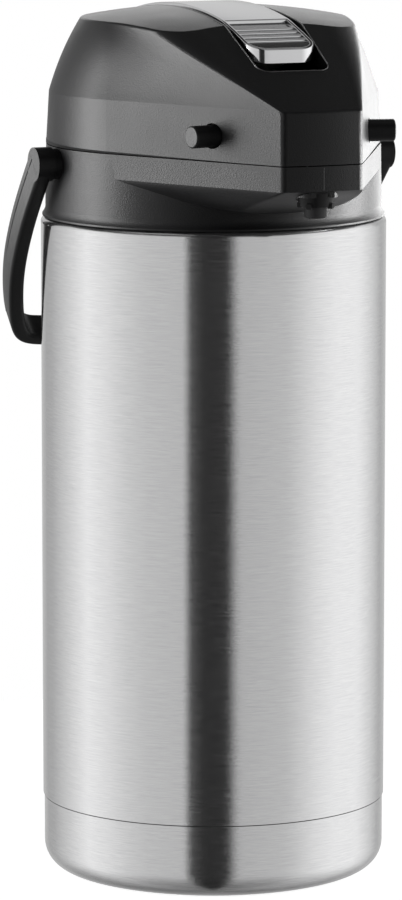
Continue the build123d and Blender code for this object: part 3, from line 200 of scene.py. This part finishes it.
def bump(tree, height, strength, distance, shader):
    """Raise a shader's surface by a height."""
    node = new_node(tree, "ShaderNodeBump")
    node.inputs["Strength"].default_value = strength
    node.inputs["Distance"].default_value = distance
    tree.links.new(height, node.inputs["Height"])
    tree.links.new(node.outputs[0], shader.inputs["Normal"])


def start_material(name, **constants):
    """New material; constants go straight onto the shader's sockets."""
    material = bpy.data.materials.new(name)
    material.use_nodes = True
    tree = material.node_tree
    shader = tree.nodes["Principled BSDF"]
    for key, value in constants.items():
        shader.inputs[key.replace("_", " ")].default_value = value
    return material, tree, shader


# Materials

STEEL_DARK = (0.66, 0.66, 0.67)
STEEL_LIGHT = (0.84, 0.84, 0.84)
# From the bottom of a brush line to its top
STEEL_ROUGHNESS = (0.10, 0.19)
STEEL_METALLIC = (1.0, 0.90)
BRUSH_CLOSENESS = 2600.0
BRUSH_RELIEF = 0.12
# Deepest relief in metres
BRUSH_DEPTH = 0.0001
GRAIN_DEPTH = 0.0003
# How much darker polished metal clouds over, and how much paler plastic grain gets
CLOUD_DARKER = 0.93
GRAIN_PALER = 1.25


def brushed_steel():
    """Stainless sheet, brushed round the body, so reflections smear up and down."""
    material, tree, shader = start_material("brushed_steel", Anisotropic=1.0,
                                            Anisotropic_Rotation=0.25)
    lines = use_group(tree, "brush", Hair=BRUSH_CLOSENESS).outputs["Lines"]
    tree.links.new(tint(tree, lines, STEEL_DARK, STEEL_LIGHT), shader.inputs["Base Color"])
    tree.links.new(between(tree, lines, *STEEL_ROUGHNESS), shader.inputs["Roughness"])
    tree.links.new(between(tree, lines, *STEEL_METALLIC), shader.inputs["Metallic"])
    tangent = new_node(tree, "ShaderNodeTangent", direction_type="RADIAL", axis="Z")
    tree.links.new(tangent.outputs[0], shader.inputs["Tangent"])
    bump(tree, lines, BRUSH_RELIEF, BRUSH_DEPTH, shader)
    return material


def plain_metal(name, colour, roughness, swing=0.04):
    """Smooth metal with a faint cloud in its polish."""
    material, tree, shader = start_material(name, Metallic=1.0)
    cloud = use_group(tree, "grain").outputs["Swell"]
    darker = tuple(CLOUD_DARKER * part for part in colour)
    tree.links.new(tint(tree, cloud, darker, colour), shader.inputs["Base Color"])
    tree.links.new(between(tree, cloud, roughness - swing, roughness + swing),
                   shader.inputs["Roughness"])
    return material


def moulded(name, colour, roughness, scale, strength, swing=0.05, level=0.5):
    """Moulded plastic with a matt grain."""
    material, tree, shader = start_material(name, Specular_IOR_Level=level)
    grain = use_group(tree, "grain", Scale=scale)
    paler = tuple(min(1.0, GRAIN_PALER * part) for part in colour)
    tree.links.new(tint(tree, grain.outputs["Grain"], colour, paler),
                   shader.inputs["Base Color"])
    tree.links.new(between(tree, grain.outputs["Swell"], roughness - swing, roughness + swing),
                   shader.inputs["Roughness"])
    bump(tree, grain.outputs["Grain"], strength, GRAIN_DEPTH, shader)
    return material


MATERIALS = {
    "brushed_steel": brushed_steel(),
    "plain_steel": plain_metal("plain_steel", (0.66, 0.66, 0.67), 0.30),
    "lever_metal": plain_metal("lever_metal", (0.88, 0.88, 0.89), 0.20, 0.03),
    "lever_polish": plain_metal("lever_polish", (0.85, 0.85, 0.86), 0.10, 0.02),
    "spring_steel": plain_metal("spring_steel", (0.60, 0.60, 0.60), 0.22),
    "black_plastic": moulded("black_plastic", (0.005, 0.005, 0.0053), 0.40, 2100.0, 0.28,
                             level=0.22),
    "grained_plastic": moulded("grained_plastic", (0.005, 0.005, 0.0053), 0.42, 2300.0, 0.45,
                               level=0.22),
    # Paler grey than the black plastic it edges: a painted highlight on raised edges, over a real
    # glossy finish
    "edge_gloss_painted_highlight": moulded("edge_gloss_painted_highlight", (0.06, 0.06, 0.06), 0.25, 1700.0, 0.02, level=1.0),
    "black_inner": moulded("black_inner", (0.010, 0.010, 0.011), 0.55, 1200.0, 0.05),
    "pale_plastic": moulded("pale_plastic", (0.62, 0.62, 0.58), 0.42, 900.0, 0.04),
    "rubber": moulded("rubber", (0.030, 0.030, 0.030), 0.72, 1400.0, 0.10),
    "silicone": moulded("silicone", (0.60, 0.60, 0.56), 0.50, 1100.0, 0.03),
}


def dress_nodes():
    """Give every CAD node the finish of its slot."""
    slots = {part["node"]: part["material_slot"] for part in frame["record"]["subparts"]}
    for name, obj in frame["nodes"].items():
        finish = MATERIALS[slots[name]]
        if not obj.data.materials:
            obj.data.materials.append(finish)
        for slot in obj.material_slots:
            slot.material = finish


# Pieces, made in millimetres

MM = 0.001
# Points nearer than this are one point
MERGE = 0.001
# Edges that turn more than this stay sharp, in degrees
SHARP_TURN = 35.0


def place(form, name, body, finishes, stands_for=()):
    """Turn a form into a piece on its body, smooth but for its sharp edges."""
    bmesh.ops.scale(form, vec=(MM, MM, MM), verts=form.verts)
    mesh = bpy.data.meshes.new(name)
    form.to_mesh(mesh)
    form.free()
    mesh.shade_smooth()
    mesh.set_sharp_from_angle(angle=math.radians(SHARP_TURN))
    for finish in finishes:
        mesh.materials.append(MATERIALS[finish])
    piece = bpy.data.objects.new(name, mesh)
    bpy.context.scene.collection.objects.link(piece)
    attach(piece, body)
    if stands_for:
        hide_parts(*stands_for)
    return piece


def rod(form, ends, radius, segments=20):
    """Round bar between two points."""
    low, high = Vector(ends[0]), Vector(ends[1])
    turn = (high - low).to_track_quat("Z", "Y").to_matrix().to_4x4()
    bmesh.ops.create_cone(form, cap_ends=True, segments=segments, radius1=radius, radius2=radius,
                          depth=(high - low).length,
                          matrix=Matrix.Translation((low + high) / 2) @ turn)


def shell_copy(node):
    """Merged copy of a CAD node's mesh, in millimetres."""
    form = bmesh.new()
    form.from_mesh(frame["nodes"][node].data)
    bmesh.ops.scale(form, vec=(1 / MM, 1 / MM, 1 / MM), verts=form.verts)
    bmesh.ops.remove_doubles(form, verts=form.verts, dist=MERGE)
    return form


def cut(form, point, facing, **clear):
    """Cut a form through along a plane."""
    bmesh.ops.bisect_plane(form, geom=form.verts[:] + form.edges[:] + form.faces[:], dist=MERGE,
                           plane_co=point, plane_no=facing, **clear)


def through(points, at):
    """Height at a place on the parabola through three (place, height) points."""
    total = 0.0
    for spot, height in points:
        share = height
        for other, _ in points:
            if other != spot:
                share *= (at - other) / (spot - other)
        total += share
    return total


# Lever: y runs from its nose, in front, to its root at the back
LEVER_HALF = 17.0
LEVER_FRONT = -87.2
LEVER_REAR = 59.2
LEVER_BEND = -51.7
LEVER_NOSE_R = 9.2
LEVER_NOSE_H = 6.4
LEVER_PLATE = 2.8
LEVER_RIM = 1.8
LEVER_LIP = 2.0
LEVER_EDGE_R = 0.55
LEVER_NOSE_STEPS = 12
# Its rims turn more than this, in radians
LEVER_RIM_TURN = 1.0
LEVER_SLICE = 3.0
RECESS_DEEP = 1.6
RIB_R = 1.1
RIB_SUNK = 0.3
RIB_BITE = 0.2
RIB_PLACES = (-60.0, -64.7, -69.4, -74.1)
# Points (y, height) of the two arcs of its top, behind and ahead of the bend
LEVER_CREST = ((LEVER_REAR, 413.6), (0.0, 419.0), (LEVER_BEND, 414.0))
LEVER_FALL = ((LEVER_BEND, 414.0), (-68.5, 409.1), (-87.6, 402.6))


def lever_height(y):
    """Height of the lever's top at a distance along it."""
    return through(LEVER_FALL if y < LEVER_BEND else LEVER_CREST, y)


def lever_cover():
    """Bent metal lever: satin back, polished U-shaped rim, nose wall and ribbed finger recess."""
    form = bmesh.new()
    bmesh.ops.create_grid(form, x_segments=1, y_segments=1, size=1.0)
    bmesh.ops.scale(form, vec=(LEVER_HALF, (LEVER_REAR - LEVER_FRONT) / 2, 1.0), verts=form.verts)
    bmesh.ops.translate(form, vec=(0.0, (LEVER_REAR + LEVER_FRONT) / 2, 0.0), verts=form.verts)
    front = [v for v in form.verts if v.co.y < LEVER_FRONT + 1.0]
    bmesh.ops.bevel(form, geom=front, offset=LEVER_NOSE_R, segments=LEVER_NOSE_STEPS,
                    profile=0.5, affect="VERTICES", material=-1)
    cut(form, (0.0, LEVER_BEND + LEVER_RIM, 0.0), (0.0, 1.0, 0.0))
    ahead = min(form.faces, key=lambda face: face.calc_center_median().y)
    bmesh.ops.inset_region(form, faces=[ahead], thickness=LEVER_RIM, use_boundary=True,
                           use_even_offset=True)
    floor = bmesh.ops.extrude_discrete_faces(form, faces=[ahead])["faces"]
    bmesh.ops.translate(form, vec=(0.0, 0.0, -RECESS_DEEP), verts=floor[0].verts)
    outline = [e for e in form.edges if e.is_boundary]
    skirt = bmesh.ops.extrude_edge_only(form, edges=outline)["geom"]
    bottom = [item for item in skirt if isinstance(item, bmesh.types.BMVert)]
    bmesh.ops.translate(form, vec=(0.0, 0.0, -LEVER_NOSE_H), verts=bottom)
    hem = [item for item in skirt if isinstance(item, bmesh.types.BMEdge)
           and all(v in bottom for v in item.verts)]
    under = bmesh.ops.contextual_create(form, geom=hem)["faces"]
    bmesh.ops.inset_region(form, faces=under, thickness=LEVER_LIP, use_boundary=True,
                           use_even_offset=True)
    bmesh.ops.translate(form, vec=(0.0, 0.0, LEVER_NOSE_H - LEVER_PLATE), verts=under[0].verts)
    bmesh.ops.recalc_face_normals(form, faces=form.faces)
    rims = [e for e in form.edges if max(abs(v.co.z) for v in e.verts) < MERGE
            and e.calc_face_angle(0.0) > LEVER_RIM_TURN]
    bmesh.ops.bevel(form, geom=rims, offset=LEVER_EDGE_R, segments=3, profile=0.5,
                    affect="EDGES", material=-1)
    step = LEVER_FRONT + LEVER_SLICE
    while step < LEVER_REAR:
        cut(form, (0.0, step, 0.0), (0.0, 1.0, 0.0))
        step += LEVER_SLICE
    for vertex in form.verts:
        vertex.co.z += lever_height(vertex.co.y)
    half = LEVER_HALF - LEVER_RIM + RIB_BITE
    for y in RIB_PLACES:
        z = lever_height(y) - RECESS_DEEP - RIB_SUNK
        rod(form, ((-half, y, z), (half, y, z)), RIB_R)
    bmesh.ops.recalc_face_normals(form, faces=form.faces)
    for face in form.faces:
        face.material_index = 0 if face.calc_center_median().y > LEVER_BEND else 1
    return place(form, "lever_cover", "lever", ("lever_metal", "lever_polish"),
                 ("lever", "lever_grip"))


BAIL_PIVOT = (0.0, 0.0, 345.0)
BAIL_LEAN = 45.2
BAIL_HALF_WIDTH = 8.1
BAIL_HALF_T = 3.7
# Middle of the band, from a hub to the grip: (distance to the side, distance from the pivot)
BAIL_ROUTE = ((88.0, 0.0), (87.6, 22.0), (86.2, 46.0), (82.4, 76.0), (76.4, 100.0),
              (71.6, 115.0), (66.2, 126.0), (56.0, 128.3), (38.0, 128.4), (18.0, 128.4),
              (0.0, 128.4))
BAIL_HUB_IN = 83.2
BAIL_HUB_SUNK = 0.03
BAIL_TAPER = 0.1
BAIL_CORNER_R = 2.0
# Mould line of an arm: half thickness, half width, corner, place and how many points it follows
MOULD_HALF_T = 0.15
MOULD_HALF_WIDTH = 0.25
MOULD_CORNER_R = 0.05
MOULD_OFF_MIDDLE = 3.0
MOULD_POINTS = 6


def bail_section(half_t, half_width, corner):
    """Rounded strip section as a closed flat curve."""
    form = bmesh.new()
    bmesh.ops.create_grid(form, x_segments=1, y_segments=1, size=1.0)
    bmesh.ops.scale(form, vec=(half_t, half_width, 1.0), verts=form.verts)
    bmesh.ops.bevel(form, geom=form.verts[:], offset=corner, segments=5, profile=0.5,
                    affect="VERTICES", material=-1)
    form.faces.ensure_lookup_table()
    points = [loop.vert.co.copy() for loop in form.faces[0].loops]
    form.free()
    curve = bpy.data.curves.new("bail_section", "CURVE")
    spline = curve.splines.new("POLY")
    spline.points.add(len(points) - 1)
    for point, co in zip(spline.points, points):
        point.co = (*co, 1.0)
    spline.use_cyclic_u = True
    return bpy.data.objects.new("bail_section", curve)


def swept(path, section):
    """Mesh of a section carried along a smooth flat path."""
    curve = bpy.data.curves.new("bail_path", "CURVE")
    curve.dimensions = "2D"
    curve.resolution_u = 10
    curve.bevel_mode = "OBJECT"
    curve.bevel_object = section
    curve.use_fill_caps = True
    spline = curve.splines.new("NURBS")
    spline.points.add(len(path) - 1)
    for point, (x, y) in zip(spline.points, path):
        point.co = (x, y, 0.0, 1.0)
    spline.order_u = 4
    spline.use_endpoint_u = True
    holder = bpy.data.objects.new("bail_path", curve)
    scene = bpy.context.scene
    for piece in (section, holder):
        scene.collection.objects.link(piece)
    bpy.context.view_layer.update()
    settled = holder.evaluated_get(bpy.context.evaluated_depsgraph_get())
    mesh = bpy.data.meshes.new_from_object(settled)
    bpy.data.objects.remove(holder)
    bpy.data.objects.remove(section)
    return mesh


def lean_back(form):
    """Turn a form made flat in the bail's plane to where the bail rests."""
    bmesh.ops.rotate(form, cent=(0.0, 0.0, 0.0), verts=form.verts,
                     matrix=Matrix.Rotation(math.radians(-BAIL_LEAN), 3, "X"))
    bmesh.ops.translate(form, vec=BAIL_PIVOT, verts=form.verts)
    bmesh.ops.remove_doubles(form, verts=form.verts, dist=MERGE)
    bmesh.ops.recalc_face_normals(form, faces=form.faces)


def bail_loop():
    """Carrying handle: one curved band from hub to hub, leaning back on the shell."""
    path = list(BAIL_ROUTE) + [(-x, s) for x, s in BAIL_ROUTE[-2::-1]]
    section = bail_section(BAIL_HALF_T, BAIL_HALF_WIDTH, BAIL_CORNER_R)
    form = bmesh.new()
    form.from_mesh(swept(path, section))
    face = BAIL_ROUTE[0][0] + BAIL_HALF_T - BAIL_HUB_SUNK
    for sign in (-1.0, 1.0):
        rod(form, ((sign * BAIL_HUB_IN, 0.0, 0.0), (sign * face, 0.0, 0.0)), BAIL_HALF_WIDTH, 40)
    for vertex in form.verts:
        vertex.co.z *= 1.0 - BAIL_TAPER * max(0.0, vertex.co.y) / BAIL_ROUTE[-1][1]
    lean_back(form)
    return place(form, "bail_loop", "bail", ("black_plastic",), ("bail_handle",))


def bail_lines():
    """Fine mould lines along the outer faces of the bail's arms."""
    arm = [(x + BAIL_HALF_T, s) for x, s in BAIL_ROUTE[:MOULD_POINTS]]
    form = bmesh.new()
    for sign in (-1.0, 1.0):
        section = bail_section(MOULD_HALF_T, MOULD_HALF_WIDTH, MOULD_CORNER_R)
        form.from_mesh(swept([(sign * x, s) for x, s in arm], section))
    bmesh.ops.translate(form, vec=(0.0, 0.0, MOULD_OFF_MIDDLE), verts=form.verts)
    lean_back(form)
    place(form, "bail_lines", "bail", ("black_inner",))


BAND_LINE_SIZE = (0.35, 0.6, 10.6)
BAND_LINE_IN = 0.29
BAND_LINE_Z = 346.7
BAND_LINE_EDGE_R = 0.12


def band_line():
    """Mould line down the middle of the collar band's front, in paler grey plastic that paints
    its highlight.
    """
    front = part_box("collar")[0].y / MM
    form = bmesh.new()
    bmesh.ops.create_cube(form, size=1.0)
    bmesh.ops.scale(form, vec=BAND_LINE_SIZE, verts=form.verts)
    bmesh.ops.translate(form, vec=(0.0, front + BAND_LINE_IN, BAND_LINE_Z), verts=form.verts)
    bmesh.ops.bevel(form, geom=form.edges[:], offset=BAND_LINE_EDGE_R, segments=2, profile=0.5,
                    affect="EDGES", material=-1)
    return place(form, "band_line", "pot", ("edge_gloss_painted_highlight",))


LID_FOOT = 353.0
LID_MIDDLE = Vector((0.0, -40.0))
# Painted shadow strip along the lid's foot: where it starts at the front, its height there, and
# how far it stands off the lid
SEAM_SHADOW_FRONT_Y = -96.0
SEAM_SHADOW_CLOSED = 0.12
# How much taller the painted shadow strip is at the carafe's middle than at its front
SEAM_SHADOW_OPEN = 1.2
SEAM_SHADOW_PROUD = 0.12
# Faces that lean more than this belong to the lid's foot or inside
SEAM_LEAN = 0.3


def lid_shadow():
    """Painted shadow: a dark strip laid on the lid's skirt where the gap under it lies in shade,
    tallest at the back and closing towards the beak.
    """
    form = shell_copy("lid_shell")
    slant = Vector((0.0, -SEAM_SHADOW_OPEN, -SEAM_SHADOW_FRONT_Y)).normalized()
    cut(form, (0.0, SEAM_SHADOW_FRONT_Y, LID_FOOT + SEAM_SHADOW_CLOSED), slant, clear_outer=True)
    inner = [face for face in form.faces
             if abs(face.normal.z) > SEAM_LEAN
             or face.normal.xy.dot(face.calc_center_median().xy - LID_MIDDLE) < 0.0
             or face.calc_center_median().y < SEAM_SHADOW_FRONT_Y]
    bmesh.ops.delete(form, geom=inner, context="FACES")
    for vertex in form.verts:
        vertex.co += SEAM_SHADOW_PROUD * Vector((vertex.normal.x, vertex.normal.y, 0.0)).normalized()
    return place(form, "lid_shadow", "lid", ("black_inner",))


def pump_fold(node, finish):
    """Pump piece copied onto the lid, with a mesh of its own."""
    form = shell_copy(node)
    piece = place(form, node + "_fold", "lid", (finish,), (node,))
    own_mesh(piece)


# Painted shade ring in the gap between shell and base cup: radius, height of its middle, its
# height and its thickness
CUP_SEAM_SHADE_R = 82.2
CUP_SEAM_SHADE_Z = 37.25
CUP_SEAM_SHADE_H = 0.7
CUP_SEAM_SHADE_T = 0.8


def cup_seam_shade():
    """Painted shade: a dark ring set in the joint where the shell stands on the base cup, so the
    narrow gap there reads dark.
    """
    form = bmesh.new()
    bmesh.ops.create_cone(form, cap_ends=False, segments=160, radius1=CUP_SEAM_SHADE_R,
                          radius2=CUP_SEAM_SHADE_R, depth=CUP_SEAM_SHADE_H,
                          matrix=Matrix.Translation((0.0, 0.0, CUP_SEAM_SHADE_Z)))
    bmesh.ops.solidify(form, geom=form.faces[:], thickness=CUP_SEAM_SHADE_T)
    bmesh.ops.recalc_face_normals(form, faces=form.faces)
    # The rubber finish gives the painted shade its dark colour
    place(form, "cup_seam_shade", "pot", ("rubber",))


SLOT_BEAD_R = 0.28
# Edges of the lid that turn more than this, in radians, beside a face that looks up
SLOT_TURN = 0.7
SLOT_LEVEL = 0.8
# Room that holds the slot's rim
SLOT_HALF = 20.0
SLOT_FRONT = -100.5
SLOT_REAR = 58.0
SLOT_LOW = 385.0


def slot_bead():
    """Thin raised line round the lever's slot, in paler grey plastic that paints its highlight.
    """
    form = shell_copy("lid_shell")
    rim = set()
    for edge in form.edges:
        x, y, z = (edge.verts[0].co + edge.verts[1].co) / 2
        if len(edge.link_faces) < 2 or edge.calc_face_angle(0.0) < SLOT_TURN:
            continue
        inside = abs(x) < SLOT_HALF and SLOT_FRONT < y < SLOT_REAR and z > SLOT_LOW
        if inside and max(face.normal.z for face in edge.link_faces) > SLOT_LEVEL:
            rim.add(edge)
    bead = bmesh.new()
    for edge in form.edges:
        if edge in rim:
            rod(bead, (edge.verts[0].co, edge.verts[1].co), SLOT_BEAD_R, 8)
    form.free()
    return place(bead, "slot_bead", "lid", ("edge_gloss_painted_highlight",))


# Studio


STRIP_LEFT = -17.0
STRIP_RIGHT = 13.0
# Brightness round the horizon, by the angle in degrees to the right of the camera
HORIZON = (
    (-180.0, 0.80), (-150.0, 0.56), (-138.0, 0.62), (-116.0, 0.96), (-94.0, 1.36), (-76.0, 1.18),
    (-60.0, 0.97), (-45.0, 0.85), (STRIP_LEFT - 0.8, 0.77), (STRIP_LEFT, 0.12),
    (STRIP_LEFT + 10.0, 0.025), (STRIP_RIGHT - 8.0, 0.03), (STRIP_RIGHT, 0.06),
    (STRIP_RIGHT + 0.8, 0.69), (30.0, 0.74), (50.0, 0.80), (61.0, 0.97), (74.0, 1.18),
    (90.0, 1.35), (114.0, 1.35), (134.0, 0.95), (150.0, 0.60), (180.0, 0.80),
)
# Brightness by height: the sine of the angle above the horizon
RISE = ((-1.0, 0.30), (-0.85, 0.45), (-0.45, 1.0), (0.48, 1.0), (0.55, 0.28), (0.61, 0.05),
        (0.76, 0.04), (0.86, 0.40), (1.0, 0.40))


def studio_world():
    """Soft walls with a dark strip by the camera, darker above and below; white where seen."""
    world = bpy.data.worlds.new("studio")
    world.use_nodes = True
    tree = world.node_tree
    tree.nodes.clear()
    spot = new_node(tree, "ShaderNodeTexCoord").outputs["Generated"]
    split = new_node(tree, "ShaderNodeSeparateXYZ")
    tree.links.new(spot, split.inputs[0])
    compass = math_node(tree, "ARCTAN2", split.outputs[0],
                        math_node(tree, "MULTIPLY", split.outputs[1], -1.0))
    turned = math_node(tree, "SUBTRACT", compass, VIEW_AZIMUTH)
    part = math_node(tree, "FRACT", math_node(tree, "ADD", math_node(
        tree, "MULTIPLY", turned, 1.0 / math.tau), 0.5))
    around = ramp(tree, part, [((angle + 180.0) / 360.0, grey) for angle, grey in HORIZON])
    lift = math_node(tree, "MULTIPLY_ADD", split.outputs[2], 0.5)
    lift.node.inputs[2].default_value = 0.5
    upward = ramp(tree, lift, [((sine + 1.0) / 2.0, grey) for sine, grey in RISE])
    glow = new_node(tree, "ShaderNodeBackground")
    tree.links.new(math_node(tree, "MULTIPLY", around, upward), glow.inputs["Strength"])
    seen = new_node(tree, "ShaderNodeBackground")
    seen.inputs["Color"].default_value = (1.0, 1.0, 1.0, 1.0)
    swap = new_node(tree, "ShaderNodeMixShader")
    tree.links.new(new_node(tree, "ShaderNodeLightPath").outputs["Is Camera Ray"],
                   swap.inputs[0])
    tree.links.new(glow.outputs[0], swap.inputs[1])
    tree.links.new(seen.outputs[0], swap.inputs[2])
    tree.links.new(swap.outputs[0], new_node(tree, "ShaderNodeOutputWorld").inputs[0])
    bpy.context.scene.world = world


FLOOR_R = 0.42
PAPER = (0.80, 0.80, 0.80, 1.0)
PAPER_GLOW = 0.84


def studio_floor():
    """Pale floor that reads as white paper."""
    mesh = bpy.data.meshes.new("floor")
    form = bmesh.new()
    bmesh.ops.create_circle(form, cap_ends=True, segments=64, radius=FLOOR_R)
    form.to_mesh(mesh)
    form.free()
    floor = bpy.data.objects.new("floor", mesh)
    bpy.context.scene.collection.objects.link(floor)
    material = bpy.data.materials.new("paper")
    material.use_nodes = True
    tree = material.node_tree
    shader = tree.nodes["Principled BSDF"]
    shader.inputs["Base Color"].default_value = PAPER
    shader.inputs["Roughness"].default_value = 0.9
    shader.inputs["Specular IOR Level"].default_value = 0.0
    glow = new_node(tree, "ShaderNodeEmission")
    rays = new_node(tree, "ShaderNodeLightPath")
    share = math_node(tree, "MULTIPLY", rays.outputs["Is Camera Ray"], PAPER_GLOW)
    tree.links.new(share, glow.inputs["Strength"])
    both = new_node(tree, "ShaderNodeAddShader")
    tree.links.new(shader.outputs[0], both.inputs[0])
    tree.links.new(glow.outputs[0], both.inputs[1])
    mirrored = math_node(tree, "MAXIMUM", rays.outputs["Is Glossy Ray"],
                         rays.outputs["Is Transmission Ray"])
    swap = new_node(tree, "ShaderNodeMixShader")
    tree.links.new(mirrored, swap.inputs[0])
    tree.links.new(both.outputs[0], swap.inputs[1])
    tree.links.new(new_node(tree, "ShaderNodeBsdfTransparent").outputs[0], swap.inputs[2])
    tree.links.new(swap.outputs[0], tree.nodes["Material Output"].inputs["Surface"])
    mesh.materials.append(material)


LAMP_AIM = Vector((0.0, 0.0, 0.34))
# Degrees to the right of the camera, height, distance, (width, height) and power
PLASTIC_LAMPS = (
    ("left_wall", -86.0, 0.39, 0.8, (0.4, 0.65), 14.0),
    ("right_wall", 104.0, 0.22, 1.1, (0.4, 0.8), 34.0),
    ("far_right_wall", 150.0, 0.40, 1.3, (0.6, 0.7), 7.0),
    ("back_wall", 180.0, 0.75, 1.3, (1.2, 0.4), 2.8),
)
BAIL_LAMP = ("bail_side", -120.0, 0.45, 1.2, (0.7, 0.7), 7.0)


def soft_light(name, angle, height, distance, size, power, only):
    """Area light for a group of pieces, aimed at the carafe's upper half."""
    data = bpy.data.lights.new(name, "AREA")
    data.shape = "RECTANGLE"
    data.size, data.size_y = size
    data.energy = power
    lamp = bpy.data.objects.new(name, data)
    bpy.context.scene.collection.objects.link(lamp)
    turn = VIEW_AZIMUTH + math.radians(angle)
    lamp.location = (distance * math.sin(turn), -distance * math.cos(turn), height)
    aim = LAMP_AIM - lamp.location
    lamp.rotation_euler = aim.to_track_quat("-Z", "Y").to_euler()
    lamp.visible_camera = False
    lamp.light_linking.receiver_collection = only


def lit_group(name, pieces):
    """Group of pieces that lamps of their own pick out."""
    group = bpy.data.collections.new(name)
    for piece in pieces:
        group.objects.link(piece)
    return group


def studio_camera():
    """Camera at the photograph's angle, distance and lens."""
    data = bpy.data.cameras.new("camera")
    data.sensor_width = 36.0
    data.lens = VIEW_LENS
    camera = bpy.data.objects.new("camera", data)
    bpy.context.scene.collection.objects.link(camera)
    back = Vector((math.sin(VIEW_AZIMUTH) * math.cos(VIEW_ELEVATION),
                   -math.cos(VIEW_AZIMUTH) * math.cos(VIEW_ELEVATION), math.sin(VIEW_ELEVATION)))
    camera.location = Vector(VIEW_TARGET) + VIEW_DISTANCE * back
    camera.rotation_euler = back.to_track_quat("Z", "Y").to_euler()
    bpy.context.scene.camera = camera


dress_nodes()
lever_cover()
bail = bail_loop()
lid_shadow()
cup_seam_shade()
bail_lines()
pump_fold("bellows", "silicone")
pump_fold("bellows_spring", "spring_steel")
glints = [slot_bead(), band_line()]
studio_world()
studio_floor()
nodes = frame["nodes"]
dark = lit_group("dark_plastic", [nodes[name] for name in (
    "lid_shell", "collar", "release_button_left", "release_button_right")] + glints)
for lamp in PLASTIC_LAMPS:
    soft_light(*lamp, dark)
soft_light(*BAIL_LAMP, lit_group("bail_lit", [bail]))
studio_camera()
bpy.context.scene.view_settings.view_transform = "Standard"
